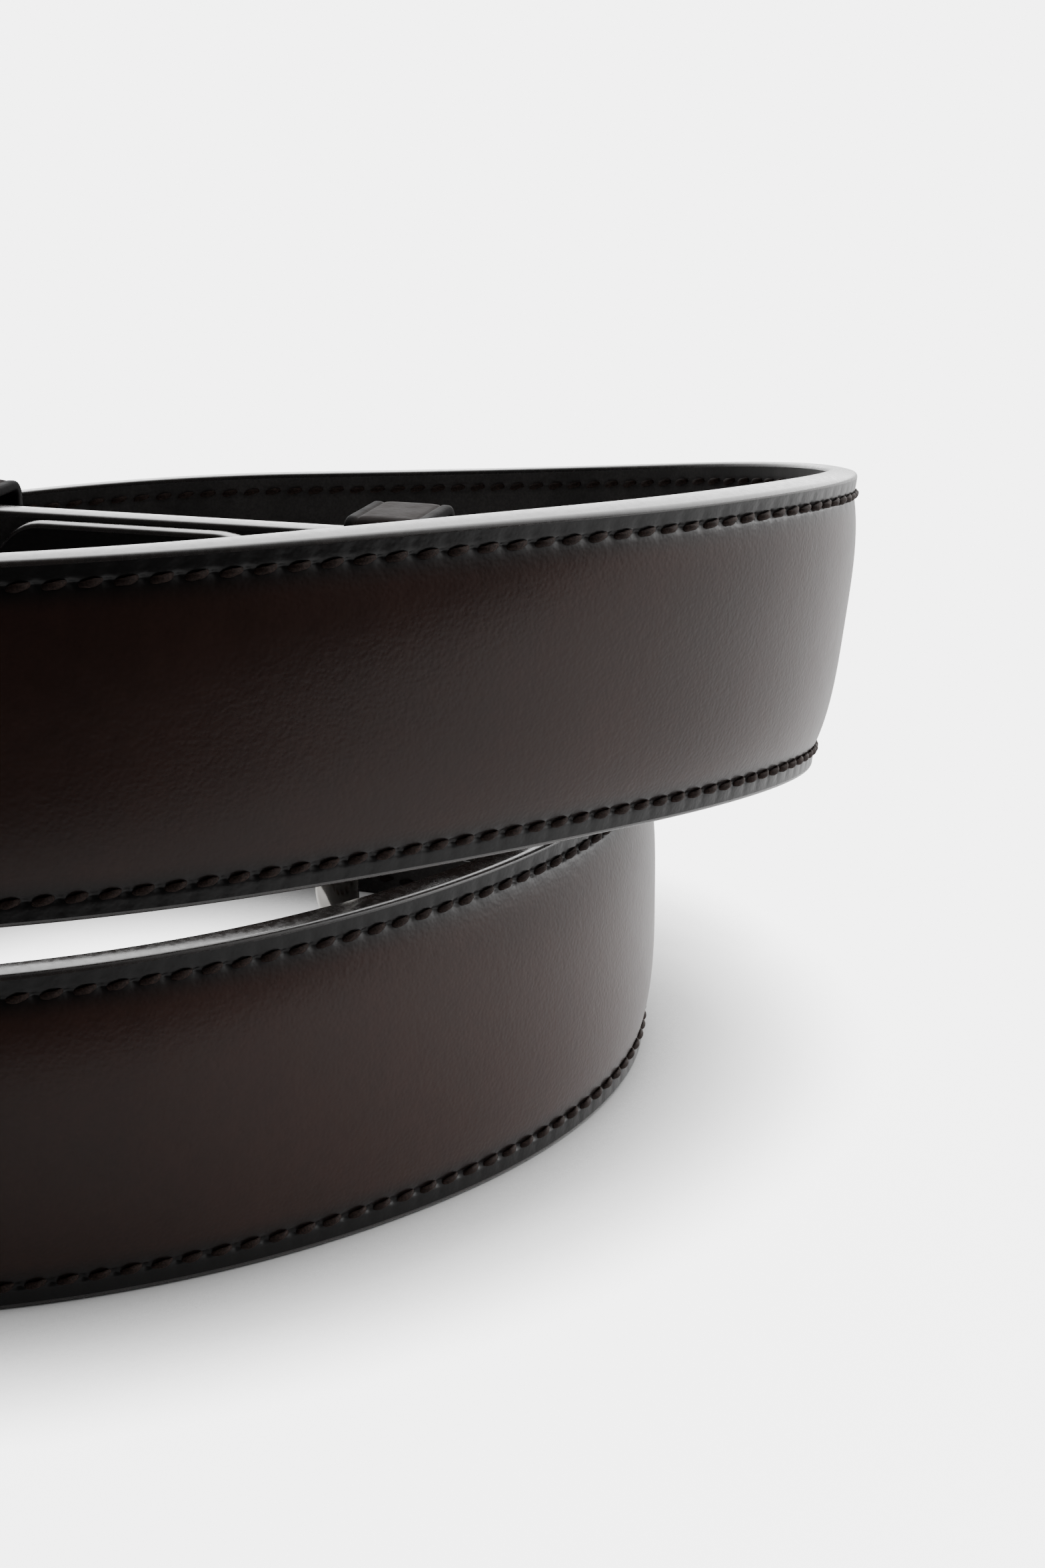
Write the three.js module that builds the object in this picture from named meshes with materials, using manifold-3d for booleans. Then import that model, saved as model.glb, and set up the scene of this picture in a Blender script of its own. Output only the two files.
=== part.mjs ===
// A gentleman's dress belt: a padded, stitched calf strap standing on its lower edge, wound into a
// loose coil that climbs from the tip on the ground to the buckle inside the upper turn.
// Millimetres, +Z up. The strap leaves the buckle bar along -X.
import * as THREE from "three";
import { mergeVertices } from "three/addons/utils/BufferGeometryUtils.js";
import Module from "manifold-3d";

const wasm = await Module();
wasm.setup();

// ---------------------------------------------------------------- driving dimensions
const STRAP_WIDTH = 35;
const BAR_TO_MIDDLE_HOLE = 950; // the size the belt is sold by
const HOLE_PITCH = 25.4;
const HOLE_COUNT = 5;
const HOLE_RADIUS = 2.1;
const BAR_TO_TIP = 1076;
const TIP_LENGTH = 38; // the rounded point is half an ellipse
const BAR_IN_PLAN = [56.78, -7.34]; // where the strap's middle surface meets the bar

// Heights through the strap, measured from its middle surface towards the outer face.
const FACE_TOP = 1.7;
const FACE_UNDERSIDE = 0.5;
const STIFFENER_TOP = 0.15;
const STIFFENER_UNDERSIDE = -0.35;
const LINING_TOP = -0.65;
const LINING_UNDERSIDE = -1.7;
const PADDING_HEIGHT = 1.3; // how far the padded middle stands above the flat margins
const PADDING_TOP = 0.3; // before that height is added
const PADDING_UNDERSIDE = 0.45;
const THINNEST_PADDING = 0.75;
const STIFFENER_INSET = 2;
const LINING_INSET = 0.2;

// The fold round the buckle bar.
const BAR_RADIUS = 1.3;
const FOLD_LINING_INNER = 1.85;
const FOLD_LINING_OUTER = 2.95;
const FOLD_FACE_INNER = 3.05;
const FOLD_FACE_OUTER = 4.3;
const BAR_HEIGHT = FACE_TOP - FOLD_FACE_OUTER;
const TAB_LENGTH = 58;
const TAB_INSET = 0.6;
const TAB_CLOSES = [26.5, 32]; // where the tab comes up against the strap, past the fixed keeper
const TAB_RISE = 2.6;
const SLOT_END = 11;
const SLOT_HALF_WIDTH = 2.9;
const PLIES_CLOSE_BY = 12;

// Stitching.
const STITCH_INSET = 2.44;
const THREAD_WIDTH = 0.9;
const THREAD_THICKNESS = 0.45;
const THREAD_CLEARANCE = 0.1;
const NEEDLE_THREAD_START = 14;
const BOBBIN_THREAD_START = 72;

// Keepers.
const KEEPER_WIDTH = 9;
const KEEPER_THICKNESS = 1.2;
const KEEPER_SIDE = 18; // half the opening across the strap
const KEEPER_OUTER = 7.6; // height of the opening above the strap's middle surface
const FIXED_KEEPER = { middle: 13, inner: -1.95 };
const LOOSE_KEEPER = { middle: 65, inner: -5 };
const STAPLE = { length: 8, wire: 0.6, leg: 1.6, clearance: 0.15 };

// Screw posts that hold the tab.
const SCREW_AT = [37, 51];
const POST = { flange: 4.5, barrel: 2.5, bore: 1.6, boreTop: -0.9, top: 0.2, flangeDepth: 0.55, end: -3.7 };
const SCREW = { head: 4.4, top: -4.05, thickness: 0.65, shank: 1.3, end: -1, slot: 0.8, slotDepth: 0.35 };
const SCREW_CLEARANCE = 0.3;

// Buckle, measured from the bar: "reach" away from the bar, "front" towards the side the prong lies on.
const FRAME = { reach: 29, halfHeight: 20.2, arm: 2.3, bow: 4.6, thickness: 4, heel: 3, corner: 7 };
const FRAME_BEVEL = 0.7;
const BAR_HALF_LENGTH = 19.8;
const SWUNG = -112; // degrees from in line with the strap, towards the tab
const PRONG = { halfWidth: 1.7, ring: 3.1, thickness: 1.6, rest: 2.3, length: 29.6 };
const BAR_CLEARANCE = 0.2;

// The coil. Each pair is a distance from the bar and a value there, joined by straight lines.
const TURN = [ // degrees turned to the left per 100 mm
  [0, 0], [65, 0], [85, 91], [115, 186], [145, 174], [195, 87], [235, 65], [255, 55], [285, 44],
  [315, 55], [345, 69], [375, 107], [405, 97], [445, 47], [495, 54], [535, 74], [575, 73], [625, 66],
  [685, 79], [735, 88], [775, 70], [815, 54], [845, 77], [875, 91], [905, 106], [945, 108], [995, 66],
];
const CLIMB = [ // rise of the lower edge, mm per 100 mm
  [65, 0], [130, 10.5], [195, 3.5], [275, 0.5], [325, -8], [365, -15], [415, -16.5], [475, -6.5],
  [555, -12], [675, -6], [695, 0],
];
const LEAN = [ // degrees the upper edge leans towards the lining side
  [85, 0], [215, -0.5], [315, -9.5], [375, -7], [455, -5.5], [555, -4], [695, -4], [755, -4.5],
  [825, 0],
];
const CHORD_ERROR = 0.4; // how far a straight station-to-station chord may stray from the bend
const LONGEST_STATION = 14;

// ---------------------------------------------------------------- the strap's route
const HALF = STRAP_WIDTH / 2;
const rad = THREE.MathUtils.degToRad;
const smooth = THREE.MathUtils.smoothstep;

function between(pairs, x) {
  const last = pairs.length - 1;
  if (x <= pairs[0][0]) return pairs[0][1];
  if (x >= pairs[last][0]) return pairs[last][1];
  const i = pairs.findIndex(([at]) => at > x);
  const [x0, y0] = pairs[i - 1];
  const [x1, y1] = pairs[i];
  return y0 + ((y1 - y0) * (x - x0)) / (x1 - x0);
}

// The plan curve and the lower edge's height, summed in 1 mm steps from the bar to the tip.
const route = [{ x: BAR_IN_PLAN[0], y: BAR_IN_PLAN[1], heading: Math.PI, height: 0 }];
for (let d = 0; d < BAR_TO_TIP + LONGEST_STATION; d++) {
  const last = route[d];
  const heading = last.heading + rad(between(TURN, d + 0.5)) / 100;
  const middle = (last.heading + heading) / 2;
  route.push({
    x: last.x + Math.cos(middle),
    y: last.y + Math.sin(middle),
    heading,
    height: last.height + between(CLIMB, d + 0.5) / 100,
  });
}
const ground = route[route.length - 1].height;

// The strap's own axes at a distance from the bar: along it, up its width, and out of its face.
function frameAt(distance) {
  const d = Math.max(distance, 0);
  const i = Math.floor(d);
  const part = d - i;
  const mix = (key) => route[i][key] * (1 - part) + route[i + 1][key] * part;
  const heading = mix("heading");
  const slope = Math.atan(between(CLIMB, d) / 100);
  const along = new THREE.Vector3(
    Math.cos(heading) * Math.cos(slope),
    Math.sin(heading) * Math.cos(slope),
    Math.sin(slope),
  );
  const upright = new THREE.Vector3(
    -Math.cos(heading) * Math.sin(slope),
    -Math.sin(heading) * Math.sin(slope),
    Math.cos(slope),
  );
  const lean = rad(between(LEAN, d));
  const up = upright.clone().applyAxisAngle(along, -lean);
  const out = along.clone().cross(up);
  const height = mix("height") - ground + HALF * up.z + FACE_TOP * Math.abs(out.z);
  const origin = new THREE.Vector3(mix("x"), mix("y"), height);
  origin.addScaledVector(along, distance - d);
  return { origin, along, up, out };
}

// A point of the strap: distance from the bar, height up its width, height out of its middle surface.
function onStrap(distance, across, outwards) {
  const { origin, up, out } = frameAt(distance);
  return origin.addScaledVector(up, across).addScaledVector(out, outwards);
}

// Distances closer together where the bend is tighter.
function stations(from, to) {
  const list = [from];
  while (list[list.length - 1] < to) {
    const here = list[list.length - 1];
    const turn = rad(Math.max(between(TURN, here), between(TURN, here + LONGEST_STATION))) / 100;
    const step = Math.min(LONGEST_STATION, Math.sqrt((8 * CHORD_ERROR) / Math.max(turn, 1e-6)));
    list.push(here + step);
  }
  list[list.length - 1] = to;
  return list;
}

// Half the strap's width, narrowing over the rounded point.
function halfWidth(distance) {
  const past = (distance - (BAR_TO_TIP - TIP_LENGTH)) / TIP_LENGTH;
  return past <= 0 ? HALF : HALF * Math.sqrt(Math.max(1 - past * past, 0));
}

// How much of the padding's height is left near the fold and near the tip.
function padding(distance) {
  const end = BAR_TO_TIP - TIP_LENGTH;
  return PADDING_HEIGHT * smooth(distance, 10, 30) * (1 - smooth(distance, end - 40, end));
}

// ---------------------------------------------------------------- solids
function solidOf(geometry) {
  const bare = geometry.clone();
  bare.deleteAttribute("normal");
  bare.deleteAttribute("uv");
  const merged = mergeVertices(bare, 1e-4);
  return new wasm.Manifold(new wasm.Mesh({
    numProp: 3,
    vertProperties: merged.attributes.position.array,
    triVerts: new Uint32Array(merged.index.array),
  }));
}

function geometryOf(solid) {
  const { vertProperties, triVerts } = solid.getMesh();
  const geometry = new THREE.BufferGeometry();
  geometry.setAttribute("position", new THREE.BufferAttribute(vertProperties, 3));
  geometry.setIndex(new THREE.BufferAttribute(triVerts, 1));
  return geometry;
}

function cut(geometry, ...tools) {
  return geometryOf(tools.reduce((solid, tool) => solid.subtract(solidOf(tool)), solidOf(geometry)));
}

// Joins rings of points into one closed body. The first half of each ring runs across its outer side
// and the second half runs back across its inner side, so the two end rings are capped by strips.
function loft(rings) {
  const count = rings[0].length;
  const index = [];
  for (let r = 0; r + 1 < rings.length; r++) {
    for (let k = 0; k < count; k++) {
      const a = r * count + k;
      const b = r * count + ((k + 1) % count);
      if (k < count / 2) index.push(a, b + count, b, a, a + count, b + count);
      else index.push(a, a + count, b, b, a + count, b + count);
    }
  }
  const last = (rings.length - 1) * count;
  for (let k = 0; k + 1 < count / 2; k++) {
    const across = count - 1 - k;
    index.push(k, across - 1, across, k, k + 1, across - 1);
    index.push(last + k, last + across, last + across - 1, last + k, last + across - 1, last + k + 1);
  }
  return new THREE.BufferGeometry().setFromPoints(rings.flat()).setIndex(index);
}

// Sweeps one ply of the strap. Each station gives its outer and inner surface as a distance and a
// height, its half width and how far its middle is raised; the profile gives, for each point across,
// its share of the half width and its share of that raise.
function ply(list, profile) {
  return loft(list.map(({ outer, inner, half, raise = 0 }) => [
    ...profile.outer.map(([across, lift]) => onStrap(outer[0], across * half, outer[1] + lift * raise)),
    ...profile.inner.map(([across, lift]) => onStrap(inner[0], across * half, inner[1] + lift * raise)),
  ]));
}

// A prism whose outline lies in the strap's own surface at a distance from the bar, running through it.
function throughStrap(shape, distance, from, to) {
  const depth = to - from;
  const geometry = new THREE.ExtrudeGeometry(shape, { depth, bevelEnabled: false, curveSegments: 6 });
  const { origin, along, up, out } = frameAt(distance);
  origin.addScaledVector(out, from);
  return geometry.applyMatrix4(new THREE.Matrix4().makeBasis(along, up, out).setPosition(origin));
}

// A turned piece whose axis runs out of the strap's face; the profile pairs a radius with a height.
function turned(profile, distance, sides = 20) {
  const geometry = new THREE.LatheGeometry(profile.map(([r, h]) => new THREE.Vector2(r, h)), sides);
  const { origin, along, up, out } = frameAt(distance);
  return geometry.applyMatrix4(new THREE.Matrix4().makeBasis(along, out, up.negate()).setPosition(origin));
}

function disc(radius, distance, from, to, sides = 20) {
  return turned([[0, from], [radius, from], [radius, to], [0, to]], distance, sides);
}

function roundedBox(halfX, halfY, radius, centreY = 0) {
  const shape = new THREE.Shape();
  const [left, right, low, high] = [-halfX, halfX, centreY - halfY, centreY + halfY];
  shape.moveTo(left + radius, low).lineTo(right - radius, low);
  shape.absarc(right - radius, low + radius, radius, -Math.PI / 2, 0);
  shape.lineTo(right, high - radius).absarc(right - radius, high - radius, radius, 0, Math.PI / 2);
  shape.lineTo(left + radius, high).absarc(left + radius, high - radius, radius, Math.PI / 2, Math.PI);
  shape.lineTo(left, low + radius).absarc(left + radius, low + radius, radius, Math.PI, 1.5 * Math.PI);
  return shape;
}

// ---------------------------------------------------------------- strap plies
// Each profile point is a share of the half width and a share of the padding's height.
const RAISED_ROW = [[-1, 0], [-0.81, 0], [-0.45, 0.9], [0.45, 0.9], [0.81, 0], [1, 0]];
const FLAT_ROW = [[-1, 0], [-0.45, 0], [0.45, 0], [1, 0]];
const PADDING_ROW = [[-0.72, 0.22], [-0.45, 0.9], [0.45, 0.9], [0.72, 0.22]];
const raisedProfile = { outer: RAISED_ROW, inner: [...RAISED_ROW].reverse() };
const flatProfile = { outer: FLAT_ROW, inner: [...FLAT_ROW].reverse() };
const paddingProfile = {
  outer: PADDING_ROW,
  inner: PADDING_ROW.map(([across]) => [across, 0]).reverse(),
};
const TIP_ANGLES = [15, 32, 50, 66, 80];
const tipStart = BAR_TO_TIP - TIP_LENGTH;
const strapStations = [
  4, 8, PLIES_CLOSE_BY, 18, 24, 30,
  ...stations(38, tipStart),
  ...TIP_ANGLES.map((angle) => tipStart + TIP_LENGTH * Math.sin(rad(angle))),
];

// A folded ply: back along the tab, round the bar and on to the tip.
function foldedPly(strapTop, strapUnderside, inside, outside, inset, profile) {
  const tabStations = [TAB_LENGTH, TAB_LENGTH - 2, TAB_LENGTH - 6, 32, 29.2, 26.5, 0];
  const tab = tabStations.map((distance) => {
    const rise = TAB_RISE * smooth(distance, ...TAB_CLOSES);
    const corner = Math.max(distance - (TAB_LENGTH - 6), 0) / 6;
    return {
      outer: [distance, BAR_HEIGHT - outside + rise],
      inner: [distance, BAR_HEIGHT - inside + rise],
      half: HALF - TAB_INSET - inset - 4 * corner * corner,
    };
  });
  const fold = [30, 60, 90, 120, 150, 180].map((degrees) => {
    const angle = rad(degrees);
    return {
      outer: [-outside * Math.sin(angle), BAR_HEIGHT - outside * Math.cos(angle)],
      inner: [-inside * Math.sin(angle), BAR_HEIGHT - inside * Math.cos(angle)],
      half: HALF - inset - TAB_INSET * (1 - degrees / 180),
    };
  });
  const strap = strapStations.map((distance) => {
    const spread = smooth(distance, 2, PLIES_CLOSE_BY);
    const mix = (atBar, away) => atBar * (1 - spread) + away * spread;
    return {
      outer: [distance, mix(BAR_HEIGHT + outside, strapTop)],
      inner: [distance, mix(BAR_HEIGHT + inside, strapUnderside)],
      half: halfWidth(distance) * (1 - inset / HALF),
      raise: padding(distance),
    };
  });
  return ply([...tab, ...fold, ...strap], profile);
}

function faceLeather() {
  return foldedPly(FACE_TOP, FACE_UNDERSIDE, FOLD_FACE_INNER, FOLD_FACE_OUTER, 0, raisedProfile);
}

function lining() {
  const inside = FOLD_LINING_INNER;
  const outside = FOLD_LINING_OUTER;
  return foldedPly(LINING_TOP, LINING_UNDERSIDE, inside, outside, LINING_INSET, flatProfile);
}

function stiffener() {
  const distances = strapStations.filter((d) => d > PLIES_CLOSE_BY && d < BAR_TO_TIP - 8);
  return ply(distances.map((distance) => ({
    outer: [distance, STIFFENER_TOP],
    inner: [distance, STIFFENER_UNDERSIDE],
    half: halfWidth(distance) - STIFFENER_INSET,
  })), flatProfile);
}

function paddingStrip() {
  const distances = strapStations.filter((d) => padding(d) > THINNEST_PADDING);
  return ply(distances.map((distance) => ({
    outer: [distance, PADDING_TOP],
    inner: [distance, PADDING_UNDERSIDE],
    half: halfWidth(distance),
    raise: padding(distance),
  })), paddingProfile);
}

// ---------------------------------------------------------------- threads
// One thread runs up one side of the strap, round the point and back down the other.
function thread(start, height) {
  const inset = HALF - STITCH_INSET;
  const straight = strapStations.filter((d) => d > start && d < tipStart);
  const path = [
    [start, -inset],
    ...straight.map((d) => [d, -inset]),
    ...Array.from({ length: 15 }, (unused, k) => {
      const angle = (Math.PI * k) / 14;
      return [tipStart + (TIP_LENGTH - STITCH_INSET) * Math.sin(angle), -inset * Math.cos(angle)];
    }),
    ...straight.map((d) => [d, inset]).reverse(),
    [start, inset],
  ];
  const half = THREAD_WIDTH / 2;
  const low = Math.min(height, height + Math.sign(height) * THREAD_THICKNESS);
  const high = low + THREAD_THICKNESS;
  const section = [[-half, high], [half, high], [half, low], [-half, low]];
  const rings = path.map(([d, across], k) => {
    const before = path[Math.max(k - 1, 0)];
    const after = path[Math.min(k + 1, path.length - 1)];
    const way = new THREE.Vector2(after[0] - before[0], after[1] - before[1]).normalize();
    return section.map(([side, out]) => onStrap(d - side * way.y, across + side * way.x, out));
  });
  return loft(rings);
}

// ---------------------------------------------------------------- keepers and their staples
function keeper({ middle, inner }) {
  const height = KEEPER_OUTER - inner;
  const centre = (KEEPER_OUTER + inner) / 2;
  const shape = roundedBox(KEEPER_SIDE + KEEPER_THICKNESS, height / 2 + KEEPER_THICKNESS, 2, centre);
  shape.holes.push(new THREE.Path(roundedBox(KEEPER_SIDE, height / 2, 0.8, centre).getPoints(4).reverse()));
  const depth = KEEPER_WIDTH;
  const ring = new THREE.ExtrudeGeometry(shape, { depth, bevelEnabled: false, curveSegments: 4 });
  const { origin, along, up, out } = frameAt(middle);
  origin.addScaledVector(along, -KEEPER_WIDTH / 2);
  ring.applyMatrix4(new THREE.Matrix4().makeBasis(up, out, along).setPosition(origin));
  const holes = [-1, 1].map((side) => stapleLeg(middle, inner, side, STAPLE.clearance));
  return cut(ring, ...holes);
}

// One leg of the staple, which closes the keeper's ends on the side towards the body.
function stapleLeg(middle, inner, side, grow) {
  const wire = STAPLE.wire + 2 * grow;
  const leg = new THREE.BoxGeometry(wire, wire, STAPLE.leg + 2 * grow);
  const { origin, along, up, out } = frameAt(middle);
  origin.addScaledVector(up, side * (STAPLE.length - STAPLE.wire) / 2);
  origin.addScaledVector(out, inner - KEEPER_THICKNESS - STAPLE.clearance - STAPLE.wire + STAPLE.leg / 2);
  return leg.applyMatrix4(new THREE.Matrix4().makeBasis(along, up, out).setPosition(origin));
}

function staple({ middle, inner }) {
  const crown = new THREE.BoxGeometry(STAPLE.wire, STAPLE.length, STAPLE.wire);
  const { origin, along, up, out } = frameAt(middle);
  origin.addScaledVector(out, inner - KEEPER_THICKNESS - STAPLE.clearance - STAPLE.wire / 2);
  crown.applyMatrix4(new THREE.Matrix4().makeBasis(along, up, out).setPosition(origin));
  const legs = [-1, 1].map((side) => solidOf(stapleLeg(middle, inner, side, 0)));
  return geometryOf(solidOf(crown).add(legs[0]).add(legs[1]));
}

// ---------------------------------------------------------------- screw posts
function screwPost(distance) {
  const { flange, barrel, bore, boreTop, top, flangeDepth, end } = POST;
  return turned([
    [0, boreTop], [bore, boreTop], [bore, end], [barrel, end], [barrel, top - flangeDepth],
    [flange, top - flangeDepth], [flange, top], [0, top],
  ], distance);
}

function screw(distance) {
  const { head, top, thickness, shank, end, slot, slotDepth } = SCREW;
  const body = turned([
    [0, top - thickness], [head, top - thickness], [head, top], [shank, top], [shank, end], [0, end],
  ], distance);
  const groove = new THREE.BoxGeometry(2 * head + 1, slot, 2 * slotDepth);
  const { origin, along, up, out } = frameAt(distance);
  origin.addScaledVector(out, top - thickness);
  groove.applyMatrix4(new THREE.Matrix4().makeBasis(along, up, out).setPosition(origin));
  return cut(body, groove);
}

// ---------------------------------------------------------------- buckle
// Buckle pieces are drawn with x as the reach away from the bar, y as the height and z towards the
// back, then set on the bar and swung by the angle at which the buckle hangs.
function onBar(geometry) {
  const { origin } = frameAt(0);
  const swing = THREE.MathUtils.degToRad(SWUNG);
  const basis = new THREE.Matrix4().makeBasis(
    new THREE.Vector3(Math.cos(swing), Math.sin(swing), 0),
    new THREE.Vector3(0, 0, 1),
    new THREE.Vector3(Math.sin(swing), -Math.cos(swing), 0),
  );
  origin.y += BAR_HEIGHT;
  return geometry.applyMatrix4(basis.setPosition(origin));
}

function buckleFrame() {
  const { reach, halfHeight, arm, bow, thickness, heel, corner } = FRAME;
  const inner = halfHeight - arm;
  const shape = new THREE.Shape();
  const edge = FRAME_BEVEL;
  const [outR, outH] = [reach - edge, halfHeight - edge];
  const [inR, inH] = [reach - bow + edge, inner + edge];
  const back = edge - heel;
  shape.moveTo(back, -outH).lineTo(outR - corner, -outH);
  shape.absarc(outR - corner, -outH + corner, corner, -Math.PI / 2, 0);
  shape.lineTo(outR, outH - corner).absarc(outR - corner, outH - corner, corner, 0, Math.PI / 2);
  shape.lineTo(back, outH).lineTo(back, inH).lineTo(inR - 3, inH);
  shape.absarc(inR - 3, inH - 3, 3, Math.PI / 2, 0, true);
  shape.lineTo(inR, -inH + 3).absarc(inR - 3, -inH + 3, 3, 0, -Math.PI / 2, true);
  shape.lineTo(back, -inH);
  const plate = new THREE.ExtrudeGeometry(shape, {
    depth: thickness - 2 * edge,
    bevelEnabled: true,
    bevelThickness: edge,
    bevelSize: edge,
    bevelSegments: 2,
    curveSegments: 6,
  });
  plate.translate(0, 0, -thickness / 2 + edge);
  const hole = new THREE.CylinderGeometry(BAR_RADIUS + BAR_CLEARANCE, BAR_RADIUS + BAR_CLEARANCE, 60, 24);
  return onBar(cut(plate, hole));
}

function buckleBar() {
  return onBar(new THREE.CylinderGeometry(BAR_RADIUS, BAR_RADIUS, 2 * BAR_HALF_LENGTH, 24));
}

// The prong's side view: a ring on the bar, then an arm that lands on the bow and ends in a soft nose.
function prong() {
  const { halfWidth: half, ring, thickness, rest, length } = PRONG;
  const ringStart = Math.PI * 0.28;
  const shape = new THREE.Shape();
  shape.absarc(0, 0, ring, ringStart, Math.PI * 1.5 - 0.2);
  shape.lineTo(ring * 1.25, -ring + 0.25);
  shape.quadraticCurveTo(10, -rest - thickness - 0.55, 18, -rest - thickness - 0.3);
  shape.quadraticCurveTo(length - 4, -rest - thickness - 0.1, length - 1, -rest - 0.9);
  shape.quadraticCurveTo(length + 0.1, -rest - 0.3, length - 1, -rest);
  shape.lineTo(22, -rest).quadraticCurveTo(12, -rest - 0.2, 6, -ring + thickness + 0.2);
  shape.quadraticCurveTo(3.6, -ring + thickness + 1, ring * Math.cos(ringStart), ring * Math.sin(ringStart));
  const bore = new THREE.Path();
  bore.absarc(0, 0, BAR_RADIUS + BAR_CLEARANCE, 0, 2 * Math.PI, true);
  shape.holes.push(bore);
  const arm = new THREE.ExtrudeGeometry(shape, { depth: 2 * half, bevelEnabled: false, curveSegments: 10 });
  arm.translate(0, 0, -half);
  // The outline is drawn in reach and front, so it is turned to stand across the bar.
  arm.applyMatrix4(new THREE.Matrix4().makeBasis(
    new THREE.Vector3(1, 0, 0),
    new THREE.Vector3(0, 0, 1),
    new THREE.Vector3(0, -1, 0),
  ));
  return onBar(arm);
}

// ---------------------------------------------------------------- openings cut through the plies
const holes = Array.from({ length: HOLE_COUNT }, (unused, k) => {
  const distance = BAR_TO_MIDDLE_HOLE + (k - (HOLE_COUNT - 1) / 2) * HOLE_PITCH;
  return disc(HOLE_RADIUS, distance, -8, 8, 16);
});
const slot = throughStrap(
  new THREE.Shape().moveTo(-8, -SLOT_HALF_WIDTH).lineTo(SLOT_END - SLOT_HALF_WIDTH, -SLOT_HALF_WIDTH)
    .absarc(SLOT_END - SLOT_HALF_WIDTH, 0, SLOT_HALF_WIDTH, -Math.PI / 2, Math.PI / 2)
    .lineTo(-8, SLOT_HALF_WIDTH),
  0, -12, 6,
);
const barrelHoles = SCREW_AT.map((d) => (
  disc(POST.barrel + SCREW_CLEARANCE, d, -6, STIFFENER_UNDERSIDE + 0.01)
));
const flangePockets = SCREW_AT.map((d) => disc(POST.flange + SCREW_CLEARANCE, d, -1, 0.3));
const headPockets = SCREW_AT.map((d) => (
  disc(SCREW.head + SCREW_CLEARANCE, d, -6, SCREW.top + SCREW_CLEARANCE)
));

// ---------------------------------------------------------------- the assembly
const CALF = { color: 0x2b1a14, roughness: 0.42, metalness: 0 };
const LINING = { color: 0x1d1614, roughness: 0.75, metalness: 0 };
const BOARD = { color: 0x6b5a46, roughness: 0.9, metalness: 0 };
const FELT = { color: 0x8a8378, roughness: 1, metalness: 0 };
const THREAD = { color: 0x20130e, roughness: 0.6, metalness: 0 };
const NICKEL = { color: 0xb9b7b0, roughness: 0.22, metalness: 1 };
const STEEL = { color: 0x9a9a9a, roughness: 0.35, metalness: 1 };

const belt = new THREE.Group();
function add(name, geometry, material) {
  const mesh = new THREE.Mesh(geometry, new THREE.MeshStandardMaterial(material));
  mesh.name = name;
  belt.add(mesh);
}

add("face_leather", cut(faceLeather(), slot, ...holes, ...barrelHoles, ...headPockets), CALF);
add("lining_leather", cut(lining(), slot, ...holes, ...barrelHoles, ...flangePockets), LINING);
add("stiffener", cut(stiffener(), ...holes, ...flangePockets), BOARD);
add("padding", cut(paddingStrip(), ...holes), FELT);
add("needle_thread", thread(NEEDLE_THREAD_START, FACE_TOP + THREAD_CLEARANCE), THREAD);
add("bobbin_thread", thread(BOBBIN_THREAD_START, LINING_UNDERSIDE - 2 * THREAD_CLEARANCE), THREAD);
add("fixed_keeper", keeper(FIXED_KEEPER), CALF);
add("fixed_keeper_staple", staple(FIXED_KEEPER), STEEL);
add("loose_keeper", keeper(LOOSE_KEEPER), CALF);
add("loose_keeper_staple", staple(LOOSE_KEEPER), STEEL);
SCREW_AT.forEach((distance, k) => {
  add(`screw_post_${k + 1}`, screwPost(distance), NICKEL);
  add(`tab_screw_${k + 1}`, screw(distance), NICKEL);
});
add("buckle_frame", buckleFrame(), NICKEL);
add("buckle_bar", buckleBar(), STEEL);
add("prong", prong(), NICKEL);

export default belt;
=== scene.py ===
import math

import bmesh
import bpy
import numpy as np
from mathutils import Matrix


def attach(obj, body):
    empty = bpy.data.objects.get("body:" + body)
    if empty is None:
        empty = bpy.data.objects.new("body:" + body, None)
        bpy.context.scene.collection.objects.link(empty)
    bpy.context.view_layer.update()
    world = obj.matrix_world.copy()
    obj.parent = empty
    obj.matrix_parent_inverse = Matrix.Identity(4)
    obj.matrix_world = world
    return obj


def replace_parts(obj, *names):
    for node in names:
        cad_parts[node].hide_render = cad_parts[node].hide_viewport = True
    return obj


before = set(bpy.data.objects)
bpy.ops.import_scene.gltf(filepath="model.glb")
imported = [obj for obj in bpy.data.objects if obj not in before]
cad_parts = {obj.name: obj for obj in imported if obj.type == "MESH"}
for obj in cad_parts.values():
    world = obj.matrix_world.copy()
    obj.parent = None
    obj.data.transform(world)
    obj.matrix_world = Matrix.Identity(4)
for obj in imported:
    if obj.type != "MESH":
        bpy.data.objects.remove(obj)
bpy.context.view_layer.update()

MM = 0.001

# ------------------------------------------------------------------ driving dimensions, mm
HALF = 17.5  # half the strap's width
BAR_TO_TIP = 1076
TIP_LENGTH = 38
TIP_START = BAR_TO_TIP - TIP_LENGTH
BAR_IN_PLAN = (56.78, -7.34)
HOLES = [950 + 25.4 * k for k in (-2, -1, 0, 1, 2)]
HOLE_RADIUS = 2.1
FACE_TOP = 1.7
LINING_UNDERSIDE = -1.7
PADDING_HEIGHT = 1.3
PADDING_RISES = (10, 30)  # where the padding comes up after the fold
PADDING_FALL = 40  # over how much it goes down before the tip
CROWN_START = 2.75  # inset where the padding starts to lift the face
CROWN_POWER = 3.4
BAR_RADIUS = 1.3
FOLD_INNER = 1.85
FOLD_OUTER = 4.3
BAR_HEIGHT = FACE_TOP - FOLD_OUTER
TAB_LENGTH = 58
TAB_INSET = 0.6
TAB_CLOSES = (26.5, 32)
TAB_RISE = 2.6
SLOT_END = 11
SLOT_HALF_WIDTH = 2.9
PLIES_CLOSE = (2, 12)
STITCH_INSET = 2.44
STITCH_PITCH = 3.1267
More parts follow.
